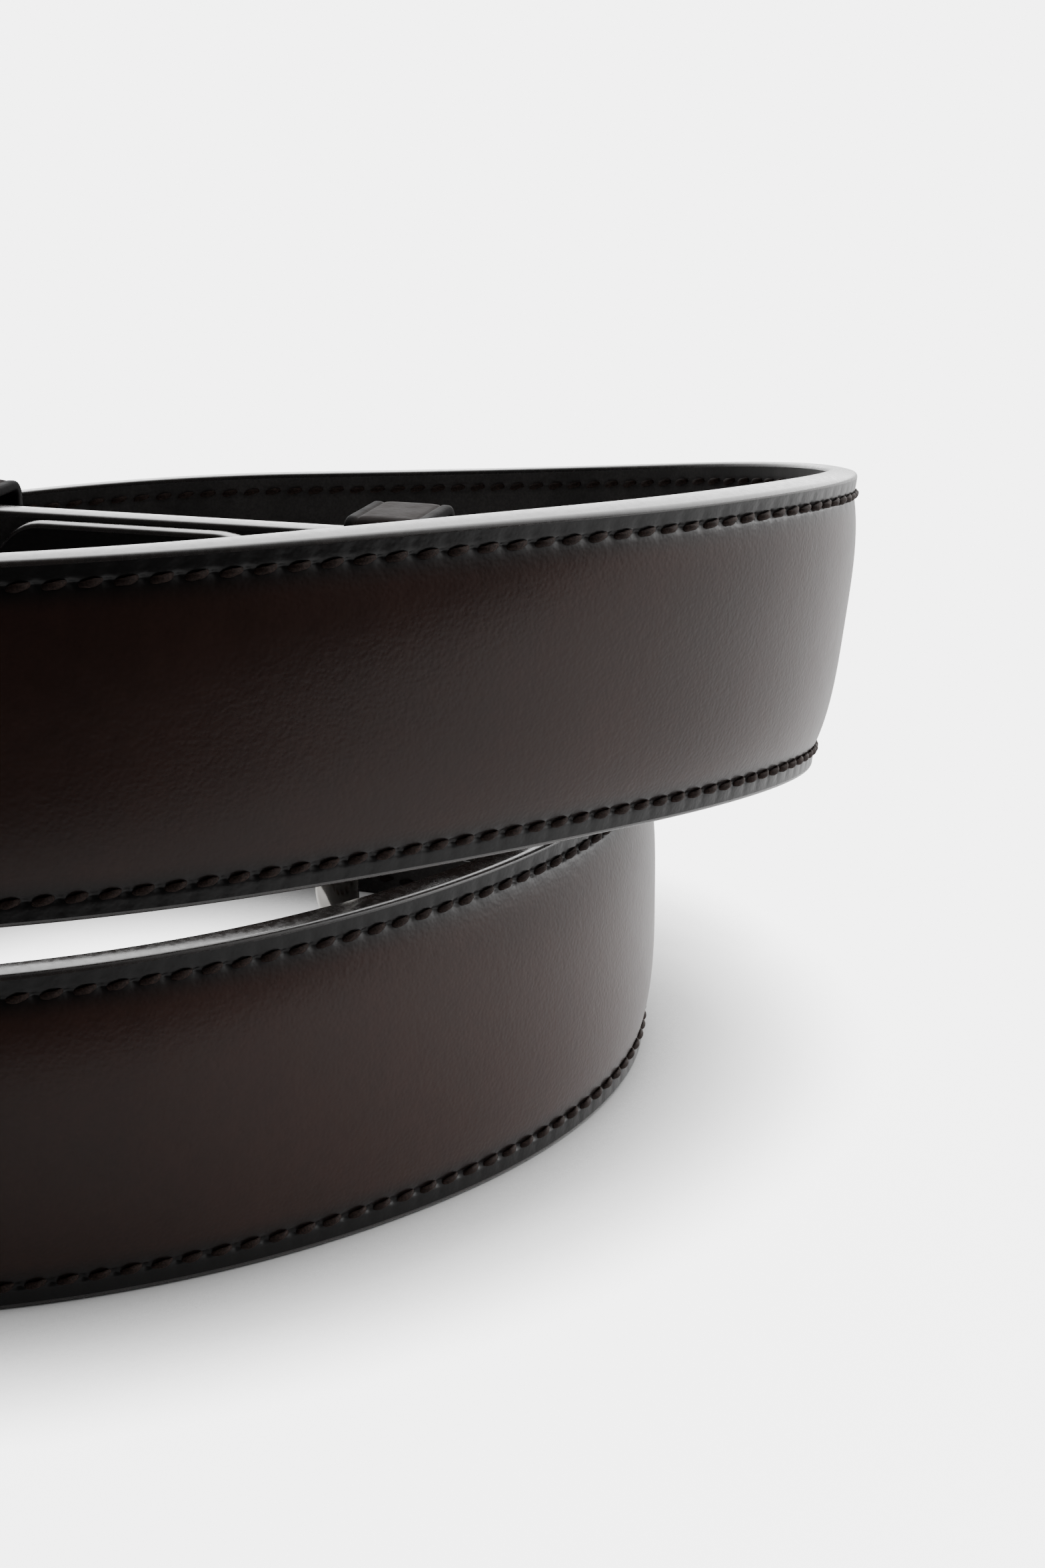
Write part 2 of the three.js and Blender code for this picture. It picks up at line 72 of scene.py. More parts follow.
FIRST_HOLE = {1: 1.754, -1: 2.43}  # where the row of stitch holes starts, upper and lower edge
STITCHES_EASE_FROM = 905  # from here the pitch changes a little, so that both rows meet at the point
NEEDLE_THREAD_START = 14
BOBBIN_THREAD_START = 72

# The coil: a distance from the bar and a value there.
TURN = [  # degrees turned to the left per 100 mm
    (0, 0), (65, 0), (85, 91), (115, 186), (145, 174), (195, 87), (235, 65), (255, 55), (285, 44),
    (315, 55), (345, 69), (375, 107), (405, 97), (445, 47), (495, 54), (535, 74), (575, 73), (625, 66),
    (685, 79), (735, 88), (775, 70), (815, 54), (845, 77), (875, 91), (905, 106), (945, 108), (995, 66),
]
CLIMB = [  # rise of the lower edge, mm per 100 mm
    (65, 0), (130, 10.5), (195, 3.5), (275, 0.5), (325, -8), (365, -15), (415, -16.5), (475, -6.5),
    (555, -12), (675, -6), (695, 0),
]
LEAN = [  # degrees the upper edge leans into the coil; below zero it leans outwards
    (85, 0), (215, -0.5), (315, -9.5), (375, -7), (455, -5.5), (555, -4), (695, -4), (755, -4.5), (825, 0),
]
ROUTE_STEP = 0.25
AXES_SOFTENING = 6  # mm over which a change of climb or lean is eased


# ------------------------------------------------------------------ the strap's route
def look_up(pairs, x):
    known, values = zip(*pairs)
    return np.interp(x, known, values)


def smoothstep(x, low, high):
    t = np.clip((x - low) / (high - low), 0, 1)
    return t * t * (3 - 2 * t)


def eased(values):
    reach = int(3 * AXES_SOFTENING / ROUTE_STEP)
    offsets = np.arange(-reach, reach + 1) * ROUTE_STEP
    weights = np.exp(-((offsets / AXES_SOFTENING) ** 2) / 2)
    return np.convolve(np.pad(values, reach, mode="edge"), weights / weights.sum(), mode="valid")


def lay_route():
    """The strap's middle line and its own axes, at every ROUTE_STEP from the bar."""
    d = np.arange(0, BAR_TO_TIP + 14 + ROUTE_STEP, ROUTE_STEP)
    between = d[:-1] + ROUTE_STEP / 2
    turned = np.cumsum(np.radians(look_up(TURN, between)) / 100 * ROUTE_STEP)
    heading = np.pi + np.concatenate([[0], turned])
    middle = (heading[1:] + heading[:-1]) / 2
    x = BAR_IN_PLAN[0] + np.concatenate([[0], np.cumsum(np.cos(middle) * ROUTE_STEP)])
    y = BAR_IN_PLAN[1] + np.concatenate([[0], np.cumsum(np.sin(middle) * ROUTE_STEP)])
    height = np.concatenate([[0], np.cumsum(look_up(CLIMB, between) / 100 * ROUTE_STEP)])
    slope = np.arctan(eased(look_up(CLIMB, d)) / 100)
    lean = np.radians(eased(look_up(LEAN, d)))
    level = np.stack([np.cos(heading), np.sin(heading)], 1)
    along = np.column_stack([level * np.cos(slope)[:, None], np.sin(slope)])
    upright = np.column_stack([-level * np.sin(slope)[:, None], np.cos(slope)])
    side = np.cross(along, upright)
    up = upright * np.cos(lean)[:, None] - side * np.sin(lean)[:, None]
    out = np.cross(along, up)
    z = height - height[-1] + HALF * up[:, 2] + FACE_TOP * np.abs(out[:, 2])
    return d, np.column_stack([x, y, z]), along, up, out


ROUTE_D, ROUTE_MIDDLE, ROUTE_ALONG, ROUTE_UP, ROUTE_OUT = lay_route()


def along_route(table, distance):
    at = np.clip(distance, 0, ROUTE_D[-1])
    return np.stack([np.interp(at, ROUTE_D, table[:, axis]) for axis in range(3)], -1)


def on_strap(distance, across, outwards):
    """Points of the strap, mm: distance from the bar, height up its width, height out of its middle."""
    distance, across, outwards = np.broadcast_arrays(
        np.asarray(distance, float), np.asarray(across, float), np.asarray(outwards, float))
    place = along_route(ROUTE_MIDDLE, distance)
    place += along_route(ROUTE_UP, distance) * across[..., None]
    place += along_route(ROUTE_OUT, distance) * outwards[..., None]
    place += along_route(ROUTE_ALONG, distance) * np.minimum(distance, 0)[..., None]
    return place


# ------------------------------------------------------------------ mesh helpers
def mesh_object(name, points, faces, body, material, inset=None, flip=False, weld=0.0):
    """A smooth-shaded mesh from points in mm. inset is each point's distance from the outline in mm."""
    mesh = bpy.data.meshes.new(name)
    faces = np.asarray(faces)
    if flip:
        faces = faces[:, ::-1]
    mesh.from_pydata((np.asarray(points).reshape(-1, 3) * MM).tolist(), [], faces.tolist())
    if inset is not None:
        layer = mesh.attributes.new("inset", "FLOAT", "POINT")
        layer.data.foreach_set("value", np.asarray(inset, np.float32).ravel())
    if weld:
        work = bmesh.new()
        work.from_mesh(mesh)
        bmesh.ops.remove_doubles(work, verts=work.verts, dist=weld * MM)
        work.to_mesh(mesh)
        work.free()
    mesh.validate()
    mesh.shade_smooth()
    obj = bpy.data.objects.new(name, mesh)
    bpy.context.scene.collection.objects.link(obj)
    obj.data.materials.append(material)
    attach(obj, body)
    return obj


def grid_faces(rows, columns, wrap_rows=False, wrap_columns=False):
    r = np.arange(rows if wrap_rows else rows - 1)
    c = np.arange(columns if wrap_columns else columns - 1)
    r, c = np.meshgrid(r, c, indexing="ij")
    r2, c2 = (r + 1) % rows, (c + 1) % columns
    quads = np.stack([r * columns + c, r * columns + c2, r2 * columns + c2, r2 * columns + c], -1)
    return quads.reshape(-1, 4)


# ------------------------------------------------------------------ procedural materials
class Nodes:
    """A small helper that adds nodes to a material and joins them."""

    def __init__(self, name):
        self.material = bpy.data.materials.new(name)
        self.material.use_nodes = True
        self.tree = self.material.node_tree
        self.shader = self.tree.nodes["Principled BSDF"]

    def add(self, kind, settings=None, **inputs):
        node = self.tree.nodes.new(kind)
        for key, value in (settings or {}).items():
            setattr(node, key, value)
        for key, value in inputs.items():
            self.put(node.inputs[key.replace("_", " ")], value)
        return node

    def put(self, socket, value):
        if isinstance(value, bpy.types.NodeSocket):
            self.tree.links.new(value, socket)
        else:
            socket.default_value = value

    def surface(self, **inputs):
        for key, value in inputs.items():
            self.put(self.shader.inputs[key.replace("_", " ")], value)
        return self.material

    def noise(self, vector, scale, detail=2.0, roughness=0.5):
        settings = {"Vector": vector, "Scale": scale, "Detail": detail, "Roughness": roughness}
        return self.add("ShaderNodeTexNoise", **settings).outputs["Fac"]

    def spread(self, value, low, high, to_low=0.0, to_high=1.0):
        node = self.add("ShaderNodeMapRange", {"interpolation_type": "SMOOTHSTEP"}, Value=value)
        for key, number in zip(("From Min", "From Max", "To Min", "To Max"), (low, high, to_low, to_high)):
            node.inputs[key].default_value = number
        return node.outputs["Result"]

    def mix(self, factor, a, b, blend="MIX"):
        node = self.add("ShaderNodeMix", {"data_type": "RGBA", "blend_type": blend})
        self.put(node.inputs[0], factor)
        self.put(node.inputs[6], a if isinstance(a, bpy.types.NodeSocket) else (*a, 1))
        self.put(node.inputs[7], b if isinstance(b, bpy.types.NodeSocket) else (*b, 1))
        return node.outputs[2]

    def maths(self, operation, a, b):
        node = self.add("ShaderNodeMath", {"operation": operation})
        self.put(node.inputs[0], a)
        self.put(node.inputs[1], b)
        return node.outputs[0]

    def bump(self, height, strength, distance, below=None):
        node = self.add("ShaderNodeBump", Height=height, Strength=strength, Distance=distance * MM)
        if below is not None:
            self.put(node.inputs["Normal"], below)
        return node.outputs["Normal"]

    def place(self):
        return self.add("ShaderNodeTexCoord").outputs["Object"]


def pebble(nodes, where, size):
    """Fine leather grain: rounded cells about size mm across with soft creases between them."""
    bend = nodes.noise(where, 1000 / (2.5 * size), 1.0)
    cells = nodes.add("ShaderNodeTexVoronoi", {"feature": "SMOOTH_F1"}, Vector=where, Scale=1000 / size)
    return nodes.maths("ADD", cells.outputs["Distance"], nodes.maths("MULTIPLY", bend, 0.8))


GRAIN_SIZE = 0.42  # mm across a cell of the calf's grain
GRAIN_RELIEF = 0.036


def calf(name, centre, margin, margin_width, roughness, specular):
    """Smooth aniline calf: reddish brown in the middle, burnished nearly black towards its edges."""
    n = Nodes(name)
    where = n.place()
    inset = n.add("ShaderNodeAttribute", {"attribute_name": "inset"}).outputs["Fac"]
    towards_middle = n.spread(inset, *margin_width)
    cloud = n.noise(where, 22.0, 3.0, 0.55)
    mottle = n.noise(where, 420.0, 4.0, 0.65)
    darker, lighter = (tuple(share * c for c in centre) for share in (0.8, 1.2))
    warm = n.mix(n.spread(cloud, 0.35, 0.65), darker, lighter)
    speck = n.mix(n.spread(mottle, 0.3, 0.7), (0.93, 0.93, 0.94), (1.06, 1.05, 1.04))
    body = n.mix(1.0, warm, speck, "MULTIPLY")
    colour = n.mix(towards_middle, margin, body)
    grains = pebble(n, where, GRAIN_SIZE)
    pores = n.noise(where, 5200.0, 2.0, 0.6)
    waves = n.noise(where, 180.0, 2.0, 0.5)
    normal = n.bump(waves, 0.25, 0.09)
    normal = n.bump(grains, 0.55, GRAIN_RELIEF, normal)
    normal = n.bump(pores, 0.3, 0.004, normal)
    rough = n.spread(mottle, 0.25, 0.75, *roughness)
    return n.surface(Base_Color=colour, Roughness=rough, Normal=normal,
                     Specular_IOR_Level=specular, IOR=1.45)


def edge_paint(name):
    """Glossy brown-black edge paint, slightly uneven where coats were sanded."""
    n = Nodes(name)
    where = n.place()
    cloud = n.noise(where, 160.0, 3.0, 0.6)
    fine = n.noise(where, 1500.0, 2.0, 0.5)
    colour = n.mix(n.spread(cloud, 0.3, 0.7), (0.007, 0.0055, 0.005), (0.015, 0.011, 0.0095))
    normal = n.bump(cloud, 0.35, 0.10)
    normal = n.bump(fine, 0.25, 0.02, normal)
    return n.surface(Base_Color=colour, Roughness=n.spread(fine, 0.3, 0.7, 0.2, 0.3), Normal=normal,
                     Specular_IOR_Level=0.6, IOR=1.55)


def lining_leather(name):
    """Matte split leather with a short nap and faint stretch marks."""
    n = Nodes(name)
    where = n.place()
    nap = n.noise(where, 2600.0, 4.0, 0.7)
    cloud = n.noise(where, 60.0, 3.0, 0.6)
    colour = n.mix(n.spread(cloud, 0.3, 0.7), (0.028, 0.0265, 0.0265), (0.052, 0.049, 0.048))
    fleck = n.mix(n.spread(nap, 0.3, 0.7), (0.8, 0.8, 0.8), (1.25, 1.25, 1.25))
    colour = n.mix(1.0, colour, fleck, "MULTIPLY")
    normal = n.bump(pebble(n, where, 0.5), 0.25, 0.03)
    normal = n.bump(nap, 0.2, 0.015, normal)
    return n.surface(Base_Color=colour, Roughness=n.spread(nap, 0.3, 0.7, 0.6, 0.75), Normal=normal,
                     Specular_IOR_Level=0.2)


def twisted_thread(name, dark, light):
    """Waxed twisted thread: fine fibres in a dark and a light tone, darker in patches."""
    n = Nodes(name)
    where = n.place()
    fibres = n.noise(where, 4200.0, 3.0, 0.7)
    tone = n.noise(where, 260.0, 2.0, 0.5)
    colour = n.mix(n.spread(fibres, 0.35, 0.7), dark, light)
    colour = n.mix(n.spread(tone, 0.3, 0.7, 0.0, 0.35), colour, dark)
    return n.surface(Base_Color=colour, Roughness=0.7, Normal=n.bump(fibres, 0.7, 0.05),
                     Specular_IOR_Level=0.14)


def metal(name, colour, roughness, scratch=0.5, wear=0.015):
    """Plated metal with hairline polishing marks and faint clouding."""
    n = Nodes(name)
    where = n.place()
    stretched = n.add("ShaderNodeMapping", Vector=where)
    stretched.inputs["Scale"].default_value = (1, 1, 18)
    lines = n.noise(stretched.outputs["Vector"], 700.0, 3.0, 0.6)
    cloud = n.noise(where, 90.0, 3.0, 0.55)
    tint = n.mix(n.spread(cloud, 0.3, 0.7), tuple(0.93 * c for c in colour), colour)
    rough = n.spread(lines, 0.25, 0.75, roughness - wear, roughness + 2 * wear)
    normal = n.bump(lines, 0.05 * scratch, 0.01)
    return n.surface(Base_Color=tint, Metallic=1.0, Roughness=rough, Normal=normal)


def fibre(name, dark, light, scale):
    """Felt or bonded board: short tangled fibres."""
    n = Nodes(name)
    where = n.place()
    fibres = n.noise(where, scale, 5.0, 0.75)
    colour = n.mix(n.spread(fibres, 0.3, 0.7), dark, light)
    return n.surface(Base_Color=colour, Roughness=0.95, Normal=n.bump(fibres, 0.6, 0.1))


CALF = calf("calf", centre=(0.0200, 0.0082, 0.0060), margin=(0.0036, 0.0030, 0.0030),
            margin_width=(2.3, 5.2), roughness=(0.28, 0.31), specular=0.27)
EDGE = edge_paint("edge_paint")
LINING = lining_leather("lining_leather")
THREAD = twisted_thread("thread", (0.010, 0.0058, 0.0046), (0.034, 0.0205, 0.0165))
NICKEL = metal("polished_nickel", (0.66, 0.64, 0.60), 0.13)
STEEL = metal("bright_steel", (0.56, 0.56, 0.57), 0.24, scratch=1.0)
FELT = fibre("felt", (0.16, 0.15, 0.13), (0.42, 0.39, 0.35), 2600.0)
BOARD = fibre("bonded_board", (0.14, 0.11, 0.08), (0.3, 0.25, 0.19), 1400.0)


# ------------------------------------------------------------------ the strap's outline and stitch rows
def tip_outline(angle):
    return TIP_LENGTH * np.sin(angle), HALF * np.cos(angle)


def tip_point(angle, inset):
    """A point of the rounded tip, an inset in from the half ellipse, measured at right angles to it."""
    forward, side = tip_outline(angle)
    normal = np.stack([forward / TIP_LENGTH**2, side / HALF**2])
    normal /= np.linalg.norm(normal, axis=0)
    return TIP_START + forward - inset * normal[0], side - inset * normal[1]


def stitch_line_lengths():
    angle = np.linspace(0, np.pi / 2, 400)
    forward, side = tip_point(angle, STITCH_INSET)
    steps = np.hypot(np.diff(forward), np.diff(side))
    return angle, np.concatenate([[0], np.cumsum(steps)])


TIP_ANGLES, TIP_LENGTHS = stitch_line_lengths()
STITCH_END = TIP_START + TIP_LENGTHS[-1]


def beside_edge(travel, inset):
    """Distance and height of points an inset from the outline, travel mm along the row of stitches."""
    travel, inset = np.broadcast_arrays(np.asarray(travel, float), np.asarray(inset, float))
    angle = np.interp(travel - TIP_START, TIP_LENGTHS, TIP_ANGLES)
    tip_d, tip_u = tip_point(angle, inset)
    straight = travel < TIP_START
    return np.where(straight, travel, tip_d), np.where(straight, HALF - inset, tip_u)


def stitch_phase(travel, side):
    """Counts stitch holes: a whole number at each, eased so that both rows end on one at the point."""
    last = (STITCH_END - FIRST_HOLE[side]) / STITCH_PITCH
    easing = (round(last) - last) * smoothstep(travel, STITCHES_EASE_FROM, STITCH_END)
    return (travel - FIRST_HOLE[side]) / STITCH_PITCH + easing


def padding_height(distance):
    falls = smoothstep(distance, TIP_START - PADDING_FALL, TIP_START)
    return PADDING_HEIGHT * smoothstep(distance, *PADDING_RISES) * (1 - falls)


def stitch_relief(travel, side, inset):
    """How far the stitches pull the leather in, around each hole and along their row, mm."""
    phase = stitch_phase(travel, side)
    to_hole = np.abs(phase - np.round(phase)) * STITCH_PITCH
    row = 0.10 * np.exp(-(((inset - STITCH_INSET) / 0.45) ** 2))
    pit = 0.24 * np.exp(-((to_hole / 0.40) ** 2) - ((inset - STITCH_INSET) / 0.36) ** 2)
    edge_side = smoothstep(inset, 0.35, 1.3) * smoothstep(-inset, -2.7, -2.2)
    crease = 0.06 * np.exp(-((to_hole / 0.55) ** 2)) * edge_side
    dimple = 0.03 * np.exp(-((to_hole / 0.7) ** 2) - ((inset - 3.1) / 0.6) ** 2)
    sewn = smoothstep(travel, NEEDLE_THREAD_START - 4, NEEDLE_THREAD_START)
    return sewn * (row + pit + crease + dimple)


def crown(inset):
    """Share of the padding's height under the face, by the distance in from the edge."""
    t = np.clip((inset - CROWN_START) / (HALF - CROWN_START), 0, 1)
    return 1 - (1 - t) ** CROWN_POWER


# ------------------------------------------------------------------ the grid both leathers are laid on
MARGIN = [  # insets of the outer columns, closest together along the row of stitches
    0.55, 0.7, 0.9, 1.1, 1.3, 1.46, 1.58, 1.68, 1.76, 1.84, 1.92, 2.0, 2.09, 2.18, 2.3, 2.44, 2.59, 2.74,
    2.95, 3.15, 3.4, 3.7, 4.05, 4.5, 5.0, 5.5,
]
INNER = [1, 0.91, 0.82, 0.72, 0.62, 0.52, 0.42, 0.33, 0.252, 0.22, 0.18, 0.13, 0.07]
MIDDLE_START = 6.0  # inset of the outermost inner column; INNER is how far out from the middle each one is
SIDE_COLUMNS = len(MARGIN) + len(INNER)
COLUMNS = 2 * SIDE_COLUMNS + 1
ROWS_PER_STITCH = 9
TAB_CORNER = 6  # length of the tab's rounded corners
TAB_END_ROUNDING = 0.8
SLOT_ROUNDING_START = SLOT_END - SLOT_HALF_WIDTH
SLOT_EASED_BY = 14  # distance where the rows round the slot's end are straight again
SLOT_SHARE = 0.252  # the inner column that runs along the slot


def tab_and_fold_rows():
    """Outer and inner surface of the tab and the fold: distance and height of each, and the half width."""
    tab = np.concatenate([
        [TAB_LENGTH, TAB_LENGTH - 0.12, TAB_LENGTH - 0.35, TAB_LENGTH - 0.8],
        np.arange(TAB_LENGTH - 1.4, SLOT_END + 1, -0.8),
        np.linspace(SLOT_END, SLOT_ROUNDING_START, 3), np.arange(7, -0.5, -1.0)])
    rise = TAB_RISE * smoothstep(tab, *TAB_CLOSES)
    corner = np.clip((tab - (TAB_LENGTH - TAB_CORNER)) / TAB_CORNER, 0, 1)
    end = np.clip((tab - (TAB_LENGTH - TAB_END_ROUNDING)) / TAB_END_ROUNDING, 0, 1)
    rounding = 0.45 * (1 - np.sqrt(1 - end**2))
    tab_rows = np.column_stack([
        tab, BAR_HEIGHT - FOLD_OUTER + rise + rounding, tab, BAR_HEIGHT - FOLD_INNER + rise - rounding,
        HALF - TAB_INSET - 4 * corner**2.6])
    angle = np.radians(np.arange(6, 180, 6))
    fold = np.column_stack([
        -FOLD_OUTER * np.sin(angle), BAR_HEIGHT - FOLD_OUTER * np.cos(angle),
        -FOLD_INNER * np.sin(angle), BAR_HEIGHT - FOLD_INNER * np.cos(angle),
        HALF - TAB_INSET * (1 - angle / np.pi)])
    return np.concatenate([tab_rows, fold])


FOLD_ROWS = tab_and_fold_rows()
COARSE_TRAVEL = np.concatenate([np.arange(0, 8.5, 1.0), [SLOT_ROUNDING_START, 9.5, SLOT_END, 12.5]])
FINE_ROWS = int((STITCH_END - SLOT_EASED_BY) / STITCH_PITCH * ROWS_PER_STITCH)
FINE_TRAVEL = np.linspace(SLOT_EASED_BY, STITCH_END, FINE_ROWS)


def strap_travel(every):
    """Rows along the strap from the bar to the point; beyond the fold only one in so many is kept."""
    return np.concatenate([COARSE_TRAVEL, FINE_TRAVEL[::every], FINE_TRAVEL[-1:]])


def round_slot_end(distance, across):
    """Moves the columns inside the slot's width so that the slot ends in a half circle."""
    bulge = np.sqrt(np.maximum(SLOT_HALF_WIDTH**2 - across**2, 0))
    room = SLOT_EASED_BY - SLOT_ROUNDING_START
    moved = SLOT_ROUNDING_START + bulge + (distance - SLOT_ROUNDING_START) * (room - bulge) / room
    inside = (distance >= SLOT_ROUNDING_START) & (distance < SLOT_EASED_BY)
    return np.where(inside & (np.abs(across) < SLOT_HALF_WIDTH), moved, distance)


def column_insets(first):
    return np.array([first, *MARGIN[1:]])


def strap_grid(travel, first_inset):
    """Distance, height across and inset of every grid point of the flat strap."""
    insets = column_insets(first_inset)
    shares = np.array(INNER)
    margin_d, margin_u = beside_edge(travel[:, None], insets[None, :])
    rim_d, rim_u = beside_edge(travel[:, None], np.full((1, 1), MIDDLE_START))
    centre_d = np.minimum(travel, TIP_START)[:, None]
    inner_d = centre_d + (rim_d - centre_d) * shares
    inner_u = rim_u * shares
    inset = np.concatenate([insets, HALF - (HALF - MIDDLE_START) * shares])
    half_d = np.concatenate([margin_d, inner_d], 1)
    half_u = np.concatenate([margin_u, inner_u], 1)
    distance = np.concatenate([half_d, centre_d, half_d[:, ::-1]], 1)
    across = np.concatenate([-half_u, 0 * centre_d, half_u[:, ::-1]], 1)
    insets_all = np.broadcast_to(np.concatenate([inset, [HALF], inset[::-1]]), distance.shape)
    return round_slot_end(distance, across), across, insets_all


def fold_grid(side, first_inset):
    """The same columns on the tab and the fold. side 0 is the outer surface, 1 the inner."""
    at, height, half = FOLD_ROWS[:, 2 * side], FOLD_ROWS[:, 2 * side + 1], FOLD_ROWS[:, 4]
    insets = column_insets(first_inset)
    middle = (half - MIDDLE_START)[:, None] * np.array(INNER)
    half_u = np.concatenate([half[:, None] - insets, middle], 1)
    across = np.concatenate([-half_u, np.zeros((len(half), 1)), half_u[:, ::-1]], 1)
    distance = round_slot_end(np.broadcast_to(at[:, None], across.shape), across)
    return distance, across, np.broadcast_to(height[:, None], across.shape)


def both_sides(function, travel, inset):
    """Evaluates a function of travel, side and inset over the columns below and above the middle."""
    middle = COLUMNS // 2
    low = function(travel[:, None], -1, inset[:, :middle])
    high = function(travel[:, None], 1, inset[:, middle:])
    return np.concatenate([low, high], 1)


SLOT_COLUMNS = [len(MARGIN) + INNER.index(SLOT_SHARE)]
SLOT_COLUMNS.append(COLUMNS - 1 - SLOT_COLUMNS[0])
SLOT_ROWS = (
    next(i for i, row in enumerate(FOLD_ROWS) if abs(row[0] - SLOT_ROUNDING_START) < 1e-6),
    len(FOLD_ROWS) + int(np.argmin(np.abs(COARSE_TRAVEL - SLOT_ROUNDING_START))))
HOLE_REACH = 3.9  # half the length of the patch that is cut out of the grid for a hole
HOLE_SHARE = 0.33  # the inner column beside that patch
HOLE_RINGS = 7
HOLE_ROUNDING = 0.28  # how far the hole's rim is pressed in
HOLE_ROUNDING_WIDTH = 0.35


def loop_round(rows, columns):
    """Grid indices round a rectangle of cells, once round without a repeat."""
    (r0, r1), (c0, c1) = rows, columns
    down = [(r, c0) for r in range(r0, r1)]
    right = [(r1, c) for c in range(c0, c1)]
    back = [(r, c1) for r in range(r1, r0, -1)]
    left = [(r0, c) for c in range(c1, c0, -1)]
    return [r * COLUMNS + c for r, c in down + right + back + left]


def hole_rim_drop(radius):
    past_rim = np.maximum(radius - HOLE_RADIUS, 0)
    return HOLE_ROUNDING * np.exp(-((past_rim / HOLE_ROUNDING_WIDTH) ** 1.3))


def leather_surface(name, side, every, first_inset, height_of, material):
    """One leather from the end of the tab, round the bar and on to the point, with its slot and holes.

    Returns the object, the points on each opening's rim, and the points at the tab's end.
    """
    travel = strap_travel(every)
    fold_d, fold_u, fold_t = fold_grid(side, first_inset)
    flat_d, flat_u, inset = strap_grid(travel, first_inset)
    flat_t = height_of(travel, flat_d, flat_u, inset)
    if side:
        fade = smoothstep(flat_d, *PLIES_CLOSE)
        flat_t = (BAR_HEIGHT + FOLD_INNER) * (1 - fade) + flat_t * fade
    distance = np.concatenate([fold_d, flat_d]).ravel()
    across = np.concatenate([fold_u, flat_u]).ravel()
    height = np.concatenate([fold_t, flat_t]).ravel()
    rows = len(fold_d) + len(flat_d)
    insets = np.concatenate([np.broadcast_to(inset[0], fold_d.shape), inset]).ravel()
    keep = np.ones((rows - 1, COLUMNS - 1), bool)
    keep[SLOT_ROWS[0]:SLOT_ROWS[1], SLOT_COLUMNS[0]:SLOT_COLUMNS[1]] = False
    faces = [None]
    rims = [loop_round(SLOT_ROWS, SLOT_COLUMNS)]
    columns = [len(MARGIN) + INNER.index(HOLE_SHARE)]
    columns.append(COLUMNS - 1 - columns[0])
    for centre in HOLES:
        near = np.flatnonzero(np.abs(travel - centre) < HOLE_REACH) + len(fold_d)
        span = (int(near[0]), int(near[-1]))
        keep[span[0]:span[1], columns[0]:columns[1]] = False
        loop = np.array(loop_round(span, columns))
        angle = np.arctan2(across[loop], distance[loop] - centre)
        inner_ring = loop
        for k in range(1, HOLE_RINGS + 1):
            share = (k / HOLE_RINGS) ** 0.8
            ring_d = distance[loop] * (1 - share) + (centre + HOLE_RADIUS * np.cos(angle)) * share
            ring_u = across[loop] * (1 - share) + HOLE_RADIUS * np.sin(angle) * share
            radius = np.hypot(ring_d - centre, ring_u)
            drop = hole_rim_drop(radius) * (-1 if side else 1)
            ring_inset = HALF - np.abs(ring_u)
            ring_t = height_of(ring_d, ring_d, ring_u[:, None], ring_inset[:, None])[:, 0] - drop
            first = len(distance)
            distance = np.concatenate([distance, ring_d])
            across = np.concatenate([across, ring_u])
            height = np.concatenate([height, ring_t])
            insets = np.concatenate([insets, ring_inset])
            ring = np.arange(first, first + len(loop))
            faces.append(np.stack([inner_ring, ring, np.roll(ring, -1), np.roll(inner_ring, -1)], 1))
            inner_ring = ring
        rims.append(inner_ring)
    faces[0] = grid_faces(rows, COLUMNS)[keep.ravel()]
    points = on_strap(distance, across, height)
    obj = mesh_object(name, points, np.concatenate(faces), "strap", material, inset=insets,
                      flip=not side, weld=0.002)
    return obj, [points[np.array(rim)] for rim in rims], points[:COLUMNS]


def face_height(travel, distance, across, inset):
    height = FACE_TOP + padding_height(distance) * crown(inset)
    if inset.shape[-1] == COLUMNS:
        height = height - both_sides(stitch_relief, travel, inset)
    return height


LINING_RELIEF = 0.7  # share of the face's relief that the stitches leave in the lining


def lining_height(travel, distance, across, inset):
    height = np.full(inset.shape, float(LINING_UNDERSIDE))
    if inset.shape[-1] == COLUMNS:
        sewn = smoothstep(travel, BOBBIN_THREAD_START - 4, BOBBIN_THREAD_START)[:, None]
        height = height + LINING_RELIEF * sewn * both_sides(stitch_relief, travel, inset)
    return height


EDGE_CORNER = (0.55, 0.6)  # corner radius at the face and at the lining
EDGE_BULGE = 0.08


def edge_profile(thickness):
    """Across the cut edge from face to lining: inset from the outline and depth below the face, mm."""
    face_r, lining_r = EDGE_CORNER
    a = np.radians(np.arange(0, 91, 15))
    b = np.radians(np.arange(90, -1, -18))
    middle = np.linspace(0, 1, 7)[1:-1]
    bulge = -EDGE_BULGE * np.sin(np.pi * middle)
    inset = np.concatenate([face_r * (1 - np.sin(a)), bulge, lining_r * (1 - np.sin(b))])
    flat = (thickness - face_r - lining_r)[:, None]
    depth = np.concatenate([
        np.broadcast_to(face_r * (1 - np.cos(a)), (len(thickness), len(a))),
        face_r + flat * middle,
        np.broadcast_to(thickness[:, None] - lining_r * (1 - np.cos(b)), (len(thickness), len(b)))], 1)
    return inset, depth


